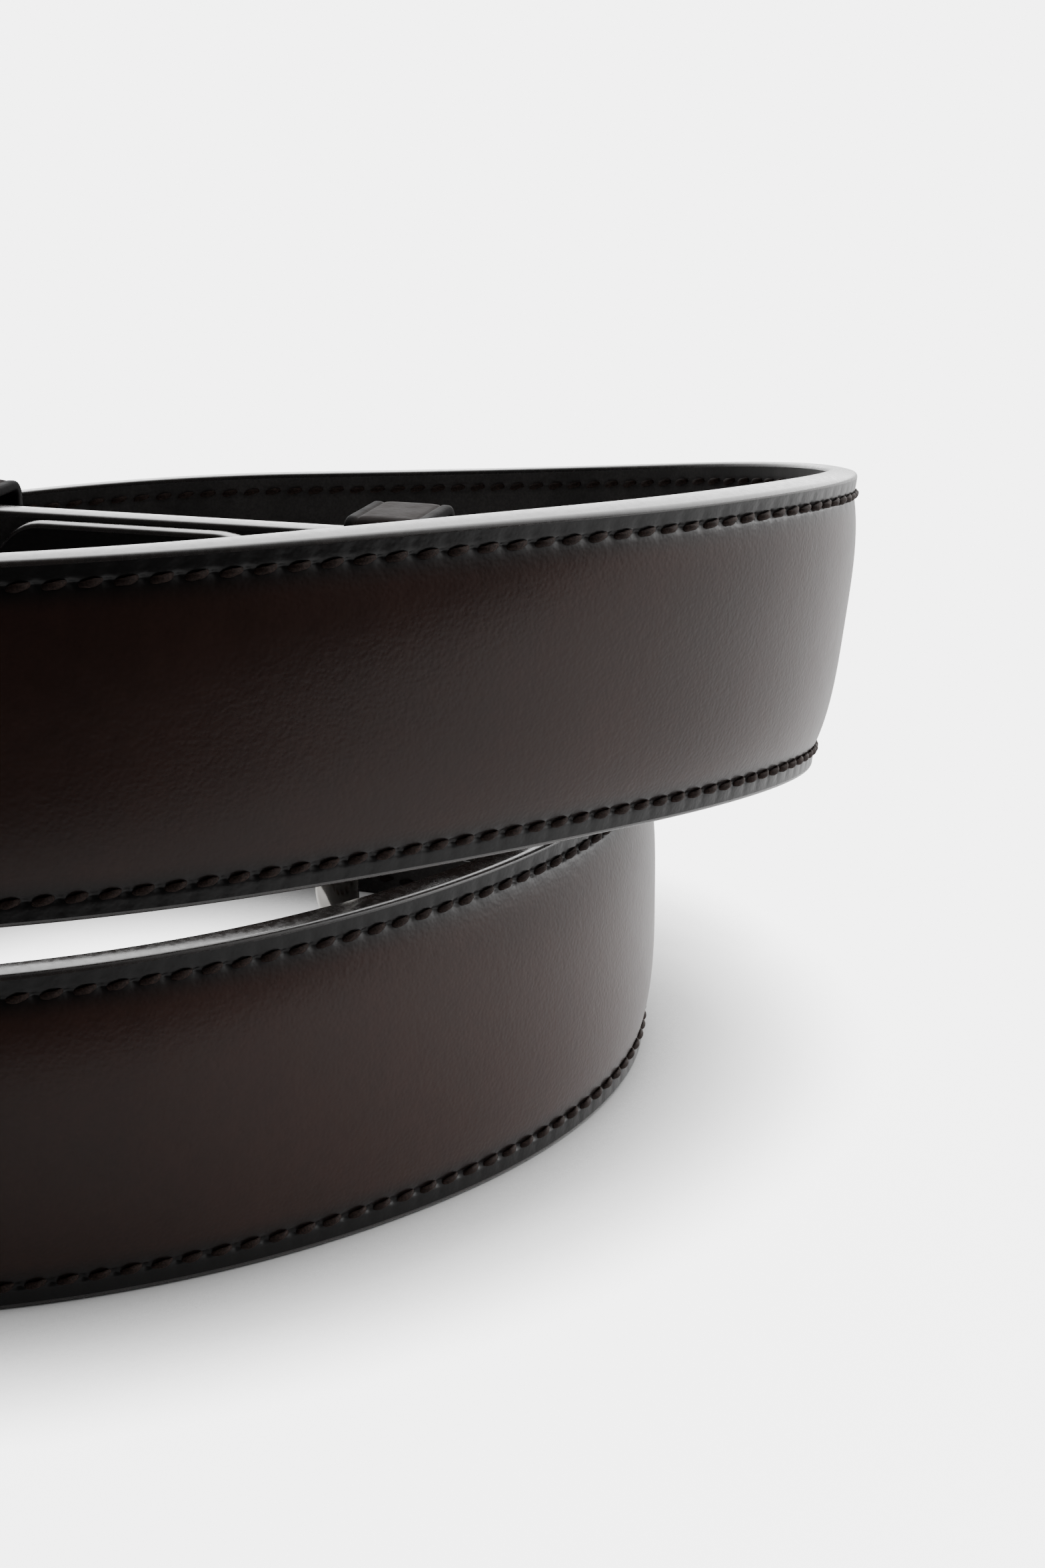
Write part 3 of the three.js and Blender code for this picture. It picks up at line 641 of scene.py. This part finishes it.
def strap_edges(name):
    """The painted edge all the way round: up one side, round the point and back down the other."""
    travel = strap_travel(3)
    fade = smoothstep(travel, *PLIES_CLOSE)
    flat_low = (BAR_HEIGHT + FOLD_INNER) * (1 - fade) + LINING_UNDERSIDE * fade
    outer = np.concatenate([FOLD_ROWS[:, :2], np.column_stack([travel, np.full_like(travel, FACE_TOP)])])
    inner = np.concatenate([FOLD_ROWS[:, 2:4], np.column_stack([travel, flat_low])])
    thickness = np.hypot(*(outer - inner).T)
    inset, depth = edge_profile(thickness)
    share = depth / thickness[:, None]
    fold_count = len(FOLD_ROWS)
    place = outer[:, None, :] * (1 - share[..., None]) + inner[:, None, :] * share[..., None]
    distance, height = place[..., 0].copy(), place[..., 1]
    across = np.broadcast_to(HALF - inset, distance.shape).copy()
    across[:fold_count] = FOLD_ROWS[:, 4][:, None] - inset
    flat_d, flat_u = beside_edge(travel[:, None], inset[None, :])
    distance[fold_count:], across[fold_count:] = flat_d, flat_u
    count = distance.shape[1]
    upper = on_strap(distance, across, height)
    lower = on_strap(distance, -across, height)
    ring = np.concatenate([lower, upper[::-1]])
    mesh_object(name, ring, grid_faces(len(ring), count), "strap", EDGE, weld=0.002)


WALL_RINGS = 6


def wall(name, top, bottom, flip=False):
    """The painted side of a slot or hole between matching rims of the two leathers."""
    share = np.linspace(0, 1, WALL_RINGS)[:, None, None]
    rings = top[None] * (1 - share) + bottom[None] * share
    faces = grid_faces(WALL_RINGS, len(top), wrap_columns=True)
    mesh_object(name, rings, faces, "strap", EDGE, flip=flip)


face, face_rims, face_end = leather_surface(
    "strap_face", 0, 1, EDGE_CORNER[0], face_height, CALF)
lining, lining_rims, lining_end = leather_surface(
    "strap_lining", 1, 3, EDGE_CORNER[1], lining_height, LINING)
strap_edges("strap_edges")
wall("slot_edge", face_rims[0], lining_rims[0])


def resampled_loop(points, centre, count=48):
    """Evenly spaced points of a hole's rim, in order round the hole."""
    centre_point = on_strap(centre, 0, 0)
    along, up = along_route(ROUTE_ALONG, centre), along_route(ROUTE_UP, centre)
    angle = np.arctan2((points - centre_point) @ up, (points - centre_point) @ along)
    order = np.argsort(angle)
    wanted = np.linspace(-np.pi, np.pi, count, endpoint=False)
    axes = [np.interp(wanted, angle[order], points[order, k], period=2 * np.pi) for k in range(3)]
    return np.stack(axes, 1)


for number, centre in enumerate(HOLES, 1):
    outer_rim, inner_rim = (resampled_loop(rims[number], centre) for rims in (face_rims, lining_rims))
    wall(f"hole_edge_{number}", outer_rim, inner_rim, flip=True)


def tab_end():
    """The painted end of the folded-back tab, as strips between its outer and inner surface."""
    share = np.linspace(0, 1, 7)[:, None, None]
    bulge = 0.2 * np.sin(np.pi * share) * along_route(ROUTE_ALONG, TAB_LENGTH)
    rows = face_end[None] * (1 - share) + lining_end[None] * share + bulge
    mesh_object("tab_end_edge", rows, grid_faces(len(rows), COLUMNS), "strap", EDGE)


tab_end()


# ------------------------------------------------------------------ padding and stiffener, inside the strap
def filling(name, travel, inset_from, top_of, bottom, material):
    """A closed strip between the leathers. top_of gives its upper height from distance and inset."""
    share = np.linspace(-1, 1, 19)
    rim_d, rim_u = beside_edge(travel[:, None], np.full((1, 1), inset_from))
    centre = np.minimum(travel, TIP_START - 2)[:, None]
    distance = centre + (rim_d - centre) * share**2
    across = rim_u * share
    inset = HALF - np.abs(across)
    top = top_of(distance, inset)
    count = len(share)
    upper = on_strap(distance, across, top)
    lower = on_strap(distance, across, np.full(top.shape, bottom))
    ring = np.concatenate([upper, lower[:, ::-1]], 1)
    faces = [grid_faces(len(ring), 2 * count, wrap_columns=True)]
    for row, step in ((0, 1), (len(ring) - 1, -1)):
        k = np.arange(count - 1)
        first = row * 2 * count
        last = first + 2 * count - 1
        cap = np.stack([first + k, first + k + 1, last - 1 - k, last - k], 1)
        faces.append(cap[:, ::step])
    return mesh_object(name, ring, np.concatenate(faces), "strap", material, flip=True)


PADDING_BOTTOM, PADDING_EDGE = 0.2, 0.06
PADDING_INSET, STIFFENER_INSET = 3.2, 2.9
STIFFENER_TOP, STIFFENER_BOTTOM = 0.12, -0.38


def padding_top(distance, inset):
    return PADDING_BOTTOM + PADDING_EDGE + padding_height(distance) * crown(inset)


def stiffener_top(distance, inset):
    return np.full(inset.shape, STIFFENER_TOP)


padding = filling("padding_felt", np.arange(24, TIP_START - 18, 3.0), PADDING_INSET,
                  padding_top, PADDING_BOTTOM, FELT)
stiffener = filling("stiffener_board", np.arange(14, TIP_START + 22, 3.0), STIFFENER_INSET,
                    stiffener_top, STIFFENER_BOTTOM, BOARD)


# ------------------------------------------------------------------ stitches
STITCH_RINGS = 11
STITCH_SIDES = 12
STITCH_RADIUS = 0.43
STITCH_SLANT = 0.17
STITCH_TWIST = 2.1 * math.pi
STITCH_FROM, STITCH_SHARE = 0.12, 0.76  # the part of the pitch that a stitch takes up
STITCH_SINKS, STITCH_RISES, STITCH_FLATTENED = -0.24, 0.56, 0.72
NEEDLE_ROW_SUNK, BOBBIN_ROW_SUNK = 0.13, 0.09


def stitch_holes(side, start):
    travel = np.linspace(start - 2, STITCH_END, 40000)
    phase = stitch_phase(travel, side)
    numbers = np.arange(math.ceil(stitch_phase(np.array(float(start)), side)), round(phase[-1]) + 1)
    return np.interp(numbers, phase, travel)


def stitch_row(side, start, surface, facing):
    """Points of one row of stitches: an array of stitch, ring, side, axis."""
    holes = stitch_holes(side, start)
    first, last = holes[:-1, None, None], holes[1:, None, None]
    s = ((1 - np.cos(np.linspace(0, np.pi, STITCH_RINGS))) / 2)[None, :, None]
    s = STITCH_FROM + STITCH_SHARE * (0.45 * s + 0.55 * np.linspace(0, 1, STITCH_RINGS)[None, :, None])
    around = np.linspace(0, 2 * np.pi, STITCH_SIDES, endpoint=False)[None, None, :]
    count = len(holes) - 1
    each = random.random((count, 1, 1))
    arch = np.sin(np.pi * np.clip((s - STITCH_FROM) / STITCH_SHARE, 0, 1))
    plump = STITCH_RADIUS * (0.94 + 0.12 * random.random((count, 1, 1)))
    radius = plump * np.clip(arch, 0, 1) ** 0.35
    lobes = 0.84 + 0.16 * np.cos(around - STITCH_TWIST * s - 6.28 * each) ** 2
    travel = first + (last - first) * s
    slant = (STITCH_SLANT + 0.03 * (each - 0.5)) * (travel - (first + last) / 2)
    sway = 0.03 * (random.random((count, 1, 1)) - 0.5)
    inset = STITCH_INSET - side * facing * slant + sway - radius * lobes * np.cos(around)
    height = STITCH_SINKS + STITCH_RISES * arch**0.55 + STITCH_FLATTENED * radius * lobes * np.sin(around)
    distance, across = beside_edge(travel, inset)
    return on_strap(distance, side * across, facing * (surface + height))


def stitches(name, start, surface, facing):
    tubes = np.concatenate([stitch_row(side, start, surface, facing) for side in (1, -1)])
    count = len(tubes)
    one = grid_faces(STITCH_RINGS, STITCH_SIDES, wrap_columns=True)
    per_stitch = STITCH_RINGS * STITCH_SIDES
    faces = (np.arange(count)[:, None, None] * per_stitch + one[None]).reshape(-1, 4)
    return mesh_object(name, tubes, faces, "strap", THREAD, weld=0.0005)


random = np.random.default_rng(35)
needle = stitches("needle_stitches", NEEDLE_THREAD_START, FACE_TOP - NEEDLE_ROW_SUNK, 1)
bobbin = stitches("bobbin_stitches", BOBBIN_THREAD_START, -LINING_UNDERSIDE - BOBBIN_ROW_SUNK, -1)


# ------------------------------------------------------------------ hardware helpers
def soften(outline, radius, steps=4):
    """Rounds the corners of a polyline with short curves that start radius mm before each corner."""
    outline = [np.asarray(p, float) for p in outline]
    count = len(outline)
    result = []
    for k, corner in enumerate(outline):
        if k in (0, count - 1):
            result.append(corner)
            continue
        a, b = outline[k - 1] - corner, outline[k + 1] - corner
        ra = min(radius, 0.45 * np.linalg.norm(a))
        rb = min(radius, 0.45 * np.linalg.norm(b))
        start, end = corner + a / np.linalg.norm(a) * ra, corner + b / np.linalg.norm(b) * rb
        for t in np.linspace(0, 1, steps + 1):
            result.append((1 - t) ** 2 * start + 2 * t * (1 - t) * corner + t**2 * end)
    return np.array(result)


def square_to_strap(distance, along, across, outwards):
    """Points in the flat frame of the strap at one distance, mm, as (..., 3)."""
    along, across, outwards = np.broadcast_arrays(along, across, outwards)
    place = on_strap(distance, 0, 0) + along[..., None] * along_route(ROUTE_ALONG, distance)
    place = place + across[..., None] * along_route(ROUTE_UP, distance)
    return place + outwards[..., None] * along_route(ROUTE_OUT, distance)


LATHE_SIDES = 64


def lathe(name, profile, distance, flip=False):
    """Turns (radius, height out of the strap) pairs about the strap's normal at a distance."""
    angle = np.linspace(0, 2 * np.pi, LATHE_SIDES, endpoint=False)
    radius, height = np.asarray(profile, float).T
    points = square_to_strap(distance, radius[:, None] * np.cos(angle), radius[:, None] * np.sin(angle),
                             height[:, None] + 0 * angle)
    faces = grid_faces(len(radius), LATHE_SIDES, wrap_columns=True)
    return mesh_object(name, points, faces, "strap", NICKEL, weld=0.001, flip=flip)


# ------------------------------------------------------------------ keepers and staples
KEEPER_SIDE = 18
KEEPER_OUTER = 7.6
KEEPER_THICKNESS = 1.2
KEEPER_WIDTH = 9
KEEPER_BEND = 1.35  # radius of the middle line at a corner
KEEPER_STEP = 0.45
BAND_CORNER = 0.34
CREASE_INSET = 1.25
KEEPERS = {"fixed_keeper": (13, -1.95, "strap"), "loose_keeper": (65, -5, "loose_keeper")}
KEEPER_CALF = calf("keeper_calf", centre=(0.0095, 0.0055, 0.0046), margin=(0.0040, 0.0034, 0.0034),
                   margin_width=(0.5, 1.6), roughness=(0.7, 0.8), specular=0.08)


def keeper_path(inner):
    """Once round the keeper's middle line: across, outwards, and the outward normal."""
    mid = KEEPER_THICKNESS / 2
    half = KEEPER_SIDE + mid - KEEPER_BEND
    low, high = inner - mid + KEEPER_BEND, KEEPER_OUTER + mid - KEEPER_BEND
    points, normals = [], []
    centres = np.array([(half, high), (-half, high), (-half, low), (half, low)])
    for k, centre in enumerate(centres):
        for angle in np.radians(np.linspace(90 * k, 90 * k + 90, 9)):
            way = np.array([math.cos(angle), math.sin(angle)])
            points.append(centre + KEEPER_BEND * way)
            normals.append(way)
        run = centres[(k + 1) % 4] - centre
        steps = max(2, int(np.linalg.norm(run) / KEEPER_STEP))
        for share in np.arange(1, steps) / steps:
            points.append(centre + run * share + KEEPER_BEND * way)
            normals.append(way)
    return np.array(points), np.array(normals)


def keeper_section():
    """Round the band's section: place along the strap and height over its middle line."""
    w, h, crease = KEEPER_WIDTH / 2, KEEPER_THICKNESS / 2, KEEPER_WIDTH / 2 - CREASE_INSET
    flat = w - BAND_CORNER
    groove = [
        (-0.42, 0.0), (-0.22, -0.03), (-0.1, -0.13), (0.0, -0.17), (0.1, -0.13), (0.22, -0.03), (0.42, 0.0),
    ]
    top = [(-flat, h)] + [(-crease + x, h + z) for x, z in groove]
    top += [(x, h + 0.05) for x in np.linspace(-crease + 1.0, crease - 1.0, 7)]
    top += [(crease + x, h + z) for x, z in groove] + [(flat, h)]
    turns = np.radians([22, 45, 68, 90])
    corner = [(flat + BAND_CORNER * math.sin(a), h - BAND_CORNER * (1 - math.cos(a))) for a in turns]
    right = corner + [(x, -z) for x, z in corner[::-1]]
    under = [(x, -h) for x in np.linspace(flat, -flat, 9)]
    left = [(-x, -z) for x, z in right]
    return np.array(top + right + under + left)


def keeper(name, middle, inner, body):
    path, normal = keeper_path(inner)
    section = keeper_section()
    wide = section[:, 0][None, :]
    tall = section[:, 1][None, :]
    on_seam_side = (path[:, 1] < inner - 0.6)[:, None]
    seam = np.where(on_seam_side & (tall > 0), 0.3 * np.exp(-((path[:, :1] / 0.17) ** 2)), 0)
    tall = tall - seam
    across = path[:, :1] + normal[:, :1] * tall
    outwards = path[:, 1:] + normal[:, 1:] * tall
    points = square_to_strap(middle, np.broadcast_to(wide, across.shape), across, outwards)
    inset = np.broadcast_to(KEEPER_WIDTH / 2 - np.abs(wide), across.shape)
    inset = np.where(tall > -0.5, inset, 0)
    faces = grid_faces(len(path), len(section), wrap_rows=True, wrap_columns=True)
    return mesh_object(name, points, faces, body, KEEPER_CALF, inset=inset)


WIRE_SIDES = 12
WIRE_RADIUS = 0.29
STAPLE_HALF = 3.7


def tube(path, radius):
    """Rings round a flat path of (across, outwards) pairs, for a wire that stays in one plane."""
    way = np.gradient(path, axis=0)
    way /= np.linalg.norm(way, axis=1)[:, None]
    side = np.column_stack([-way[:, 1], way[:, 0]])
    angle = np.linspace(0, 2 * np.pi, WIRE_SIDES, endpoint=False)
    radius = np.asarray(radius)[:, None]
    across = path[:, :1] + side[:, :1] * radius * np.cos(angle)
    outwards = path[:, 1:] + side[:, 1:] * radius * np.cos(angle)
    return radius * np.sin(angle) + 0 * across, across, outwards


def staple(name, middle, inner, body):
    crown_height = inner - KEEPER_THICKNESS - 0.22
    foot = crown_height + 1.2
    half = STAPLE_HALF
    path = soften([(-half, foot), (-half, crown_height), (half, crown_height), (half, foot)], 0.6, steps=7)
    path = np.concatenate([path[:1] + [[0, 0.001]], path, path[-1:] + [[0, 0.001]]])
    radius = np.full(len(path), WIRE_RADIUS)
    radius[[0, -1]] = 0
    points = square_to_strap(middle, *tube(path, radius))
    faces = grid_faces(len(path), WIRE_SIDES, wrap_columns=True)
    return mesh_object(name, points, faces, body, STEEL, weld=0.0005)


for keeper_name, (middle, inner, body) in KEEPERS.items():
    band = keeper(f"{keeper_name}_band", middle, inner, body)
    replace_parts(band, keeper_name)
    wire = staple(f"{keeper_name}_wire", middle, inner, body)
    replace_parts(wire, f"{keeper_name}_staple")


# ------------------------------------------------------------------ screw posts and tab screws
SCREW_AT = (37, 51)
HEAD_RADIUS = 4.4
HEAD_EDGE = -4.36
HEAD_DOME = 0.3
SLOT_IN_HEAD = (0.4, 0.33)  # half width and depth


def screw_head(name, distance):
    """A domed head with a straight slot, as a height field over a disc, with its rim turned under."""
    half, depth = SLOT_IN_HEAD
    out = np.sin(np.radians(np.arange(6, 91, 7)))
    x = np.concatenate([[half + 0.06, half + 0.14], half + 0.2 + (HEAD_RADIUS - half - 0.2) * out])
    x = np.concatenate([-x[::-1], [-half, -half + 0.03, 0, half - 0.03, half], x])
    y_share = np.sin(np.radians(np.linspace(-90, 90, 33)))
    reach = np.sqrt(np.maximum(HEAD_RADIUS**2 - x**2, 0))[:, None]
    y = reach * y_share
    radius = np.hypot(x[:, None], y) / HEAD_RADIUS
    height = HEAD_DOME * (1 - radius**2) - 0.12 * radius**14
    height = height - depth * (np.abs(x) < half - 0.01)[:, None]
    top = square_to_strap(distance, y, x[:, None] + 0 * y, HEAD_EDGE - height)
    return mesh_object(name, top, grid_faces(*y.shape), "strap", NICKEL, weld=0.002, flip=True)


POST_PROFILE = [  # radius and height: bore, barrel and flange
    (0, -0.9), (1.6, -0.9), (1.6, -3.7), (2.5, -3.7), (2.5, -0.35), (4.5, -0.35), (4.5, 0.2), (0, 0.2),
]
SHANK_PROFILE = [
    (0, -1.0), (1.3, -1.0), (1.3, HEAD_EDGE + 0.35), (HEAD_RADIUS, HEAD_EDGE + 0.35),
    (HEAD_RADIUS, HEAD_EDGE + 0.12),
]
for number, distance in enumerate(SCREW_AT, 1):
    post = lathe(f"post_{number}", soften(POST_PROFILE, 0.14), distance)
    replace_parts(post, f"screw_post_{number}")
    head = screw_head(f"screw_head_{number}", distance)
    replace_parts(head, f"tab_screw_{number}")
    lathe(f"screw_shank_{number}", soften(SHANK_PROFILE, 0.1), distance, flip=True)


# ------------------------------------------------------------------ buckle
SWUNG = math.radians(-112)
REACH = np.array([math.cos(SWUNG), math.sin(SWUNG), 0.0])
FRONT = np.array([-math.sin(SWUNG), math.cos(SWUNG), 0.0])
UP = np.array([0.0, 0.0, 1.0])
BAR_PLACE = on_strap(0, 0, BAR_HEIGHT)
FRAME_OUTSIDE = (29.0, 20.2, 7.0)  # reach, half height, corner radius
FRAME_INSIDE = (24.4, 17.9, 3.0)
FRAME_HEEL = -3.0
FRAME_HALF_THICKNESS = 2.0
FRAME_SIDES = 32
END_SCALE = np.array([0.0, 0.35, 0.6, 0.8, 0.93])  # how an arm's end closes, and over what reach
END_REACH = np.array([0.0, 0.12, 0.35, 0.7, 1.1])
BAR_HALF_LENGTH = 19.9
BAR_SIDES = 40


def on_buckle(reach, up, front):
    reach, up, front = np.broadcast_arrays(reach, up, front)
    return BAR_PLACE + reach[..., None] * REACH + up[..., None] * UP + front[..., None] * FRONT


def frame_line(outline):
    reach, half, radius = outline
    arc = np.radians(np.linspace(0, 90, 17))
    arm = np.linspace(FRAME_HEEL, reach - radius, 22)[:-1]
    bow = np.linspace(0, half - radius, 14)[:-1]
    r = np.concatenate([arm, reach - radius + radius * np.sin(arc), np.full(len(bow), reach)])
    h = np.concatenate([np.full(len(arm), half), half - radius + radius * np.cos(arc), bow[::-1]])
    return np.concatenate([np.column_stack([r, h]), np.column_stack([r, -h])[::-1][1:]])


def power(value, exponent):
    return np.sign(value) * np.abs(value) ** exponent


def buckle_frame():
    outside, inside = frame_line(FRAME_OUTSIDE), frame_line(FRAME_INSIDE)
    inside[:, 0] = np.where(inside[:, 0] < 20, outside[:, 0], inside[:, 0])
    middle, half = (outside + inside) / 2, (outside - inside) / 2
    angle = np.linspace(0, 2 * np.pi, FRAME_SIDES, endpoint=False)
    wide, tall = power(np.cos(angle), 0.72), power(np.sin(angle), 0.8) * FRAME_HALF_THICKNESS
    tall = np.where(tall < 0, 0.85 * tall, tall)
    scale = np.concatenate([END_SCALE, np.ones(len(middle) - 2), END_SCALE[::-1]])
    count = len(END_SCALE)
    middle, half = (
        np.concatenate([np.repeat(line[:1], count, 0), line[1:-1], np.repeat(line[-1:], count, 0)])
        for line in (middle, half))
    middle[:count, 0] += END_REACH
    middle[-count:, 0] += END_REACH[::-1]
    place = middle[:, None, :] + half[:, None, :] * (wide[None, :, None] * scale[:, None, None])
    front = tall[None, :] * scale[:, None]
    points = on_buckle(place[..., 0], place[..., 1], front)
    faces = grid_faces(len(points), FRAME_SIDES, wrap_columns=True)
    return mesh_object("buckle_bow", points, faces, "buckle", NICKEL, weld=0.001)


def buckle_bar():
    end, side = BAR_HALF_LENGTH, BAR_RADIUS
    profile = soften([(0, -end), (side, -end), (side, end), (0, end)], 0.25)
    angle = np.linspace(0, 2 * np.pi, BAR_SIDES, endpoint=False)
    radius, height = profile[:, :1], profile[:, 1:]
    points = on_buckle(radius * np.cos(angle), height + 0 * angle, radius * np.sin(angle))
    faces = grid_faces(len(profile), BAR_SIDES, wrap_columns=True)
    return mesh_object("hinge_bar", points, faces, "buckle", STEEL, weld=0.001)


PRONG_EYE = 2.3  # radius of the strip's middle line round the bar
PRONG_ARCH = [  # reach and height of the strip's middle line from the bar to the nose
    (0, 2.3), (2.5, 2.42), (6, 2.95), (11, 3.4), (16, 3.42), (21, 3.1), (25, 2.88), (29.3, 2.62),
]
PRONG_HALF_WIDTH = 1.7
PRONG_HALF_THICKNESS = 0.78
PRONG_SIDES = 28


def prong():
    """A strip wrapped round the bar, then arched to rest on the bow with a rounded nose."""
    eye = np.radians(np.linspace(-12, 270, 40))
    round_bar = np.column_stack([PRONG_EYE * np.cos(eye), -PRONG_EYE * np.sin(eye)])
    reach = np.linspace(0.6, PRONG_ARCH[-1][0], 60)
    arm_front = look_up(PRONG_ARCH, reach)
    arm_front = np.convolve(np.pad(arm_front, 5, mode="edge"), np.ones(11) / 11, mode="valid")
    path = np.concatenate([round_bar, np.column_stack([reach, arm_front])])
    way = np.gradient(path, axis=0)
    way /= np.linalg.norm(way, axis=1)[:, None]
    side = np.column_stack([-way[:, 1], way[:, 0]])
    length = np.concatenate([[0], np.cumsum(np.linalg.norm(np.diff(path, axis=0), axis=1))])
    left = length[-1] - length
    nose = np.sqrt(np.clip(1 - np.clip(1 - left / 1.5, 0, 1) ** 2, 0, 1))
    heel = np.sqrt(np.clip(1 - np.clip(1 - length / 0.5, 0, 1) ** 2, 0, 1))
    narrowing = 0.35 * smoothstep(length, length[-1] - 16, length[-1])
    thinning = 0.08 * smoothstep(length, length[-1] - 10, length[-1])
    half_wide = (PRONG_HALF_WIDTH - narrowing) * nose * heel
    half_tall = (PRONG_HALF_THICKNESS - thinning) * nose * heel
    angle = np.linspace(0, 2 * np.pi, PRONG_SIDES, endpoint=False)
    wide, tall = power(np.cos(angle), 0.6), power(np.sin(angle), 0.62)
    up = half_wide[:, None] * wide
    place = path[:, None, :] + side[:, None, :] * (half_tall[:, None] * tall)[..., None]
    points = on_buckle(place[..., 0], up, place[..., 1])
    faces = grid_faces(len(path), PRONG_SIDES, wrap_columns=True)
    return mesh_object("tongue", points, faces, "prong", NICKEL, weld=0.001)


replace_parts(buckle_frame(), "buckle_frame")
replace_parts(buckle_bar(), "buckle_bar")
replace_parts(prong(), "prong")
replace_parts(face, "face_leather")
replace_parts(lining, "lining_leather")
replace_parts(padding, "padding")
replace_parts(stiffener, "stiffener")
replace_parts(needle, "needle_thread")
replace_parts(bobbin, "bobbin_thread")


# ------------------------------------------------------------------ floor, light and camera
FLOOR_HALF = 30.0  # metres, far enough to reach the horizon from any side
CAMERA_PLACE = (0.14959, -0.31562, 0.1321)
CAMERA_HEADING = math.radians(16.46)
CAMERA_TILT = math.radians(16.26)
CAMERA_LENS = 70.745
WORLD_BRIGHT = 1.3
FLOOR_GLOW = 4.6
PAINTED_SHADOW_REACH = 0.028  # metres over which a painted contact shadow darkens the floor's glow towards what stands on it
PAINTED_SHADOW_POWER = 5.0
TABLE_WAY = (math.sin(CAMERA_HEADING), -math.cos(CAMERA_HEADING), 0.0)
TABLE_EDGE = (0.10, 0.19)  # metres that way from the middle, over which the reflected table goes dark, a painted shade
TABLE_LIT, TABLE_PAINTED_SHADE = (0.85, 0.85, 0.85), (0.06, 0.06, 0.06)
BACK_BRIGHT = 5.0
BRIGHT_WAY = (0.22, 0.93, 0.30)  # behind the belt and to its right
BRIGHT_SPREAD = (0.25, 0.95)
DARK_WAY = (-0.24, -0.957, 0.0)  # in front of the belt and to its left, where the room is dark
DARK_SPREAD = (-0.35, 0.4)
DARK_SHARE = 0.93


def floor():
    """A pale floor that glows for the camera alone, its glow dimmed near what stands on it as a painted
    contact shadow. To other rays it is a lit table, dark in front: a painted shade.
    """
    mesh = bpy.data.meshes.new("floor")
    size = FLOOR_HALF
    corners = [(-size, -size, 0), (size, -size, 0), (size, size, 0), (-size, size, 0)]
    mesh.from_pydata(corners, [], [(0, 1, 2, 3)])
    obj = bpy.data.objects.new("floor", mesh)
    bpy.context.scene.collection.objects.link(obj)
    n = Nodes("pale_floor")
    paper = n.noise(n.place(), 900.0, 3.0, 0.6)
    shade = n.mix(n.spread(paper, 0.3, 0.7), (0.44, 0.44, 0.44), (0.46, 0.46, 0.46))
    # Painted shade: to every ray but the camera's, the floor goes dark in front of the belt.
    painted_shade_distance = n.add("ShaderNodeVectorMath", {"operation": "DOT_PRODUCT"})
    n.put(painted_shade_distance.inputs[0], n.place())
    painted_shade_distance.inputs[1].default_value = TABLE_WAY
    table = n.mix(n.spread(painted_shade_distance.outputs["Value"], *TABLE_EDGE), TABLE_LIT, TABLE_PAINTED_SHADE)
    # Painted contact shadow: ambient occlusion raised to a power dims the floor's glow beside what stands
    # on it.
    near = n.add("ShaderNodeAmbientOcclusion", {"samples": 8}, Distance=PAINTED_SHADOW_REACH).outputs["AO"]
    seen = n.add("ShaderNodeLightPath").outputs["Is Camera Ray"]
    shade = n.mix(seen, table, shade)
    painted_shadow_factor = n.maths("POWER", near, PAINTED_SHADOW_POWER)
    glow = n.maths("MULTIPLY", n.maths("MULTIPLY", painted_shadow_factor, seen), FLOOR_GLOW)
    obj.data.materials.append(n.surface(Base_Color=shade, Roughness=1.0, Specular_IOR_Level=0.0,
                                        Emission_Color=(1.0, 1.0, 1.0, 1.0), Emission_Strength=glow))


def light_room():
    """A white room, bright behind the belt and dark in front of it."""
    world = bpy.data.worlds.new("studio")
    bpy.context.scene.world = world
    world.use_nodes = True
    tree = world.node_tree
    way = tree.nodes.new("ShaderNodeTexCoord").outputs["Generated"]
    background = tree.nodes["Background"]

    def graded(vector, bounds):
        dot = tree.nodes.new("ShaderNodeVectorMath")
        dot.operation = "DOT_PRODUCT"
        tree.links.new(way, dot.inputs[0])
        dot.inputs[1].default_value = vector
        spread = tree.nodes.new("ShaderNodeMapRange")
        spread.interpolation_type = "SMOOTHSTEP"
        tree.links.new(dot.outputs["Value"], spread.inputs["Value"])
        spread.inputs["From Min"].default_value, spread.inputs["From Max"].default_value = bounds
        return spread.outputs["Result"]

    def maths(operation, a, b):
        node = tree.nodes.new("ShaderNodeMath")
        node.operation = operation
        for socket, value in zip(node.inputs, (a, b)):
            if isinstance(value, bpy.types.NodeSocket):
                tree.links.new(value, socket)
            else:
                socket.default_value = value
        return node.outputs[0]

    level = maths("MULTIPLY_ADD", graded(DARK_WAY, DARK_SPREAD), -DARK_SHARE)
    level.node.inputs[2].default_value = 1.0
    room = maths("MULTIPLY", level, WORLD_BRIGHT)
    behind = maths("MULTIPLY", graded(BRIGHT_WAY, BRIGHT_SPREAD), BACK_BRIGHT)
    strength = maths("ADD", room, behind)
    background.inputs["Color"].default_value = (1.0, 1.0, 1.0, 1.0)
    tree.links.new(strength, background.inputs["Strength"])


def set_camera():
    data = bpy.data.cameras.new("camera")
    data.lens = CAMERA_LENS
    data.sensor_width = 36
    data.sensor_fit = "AUTO"
    data.clip_start = 0.01
    obj = bpy.data.objects.new("camera", data)
    bpy.context.scene.collection.objects.link(obj)
    obj.location = CAMERA_PLACE
    obj.rotation_euler = (math.pi / 2 - CAMERA_TILT, 0, CAMERA_HEADING)
    bpy.context.scene.camera = obj


floor()
light_room()
set_camera()
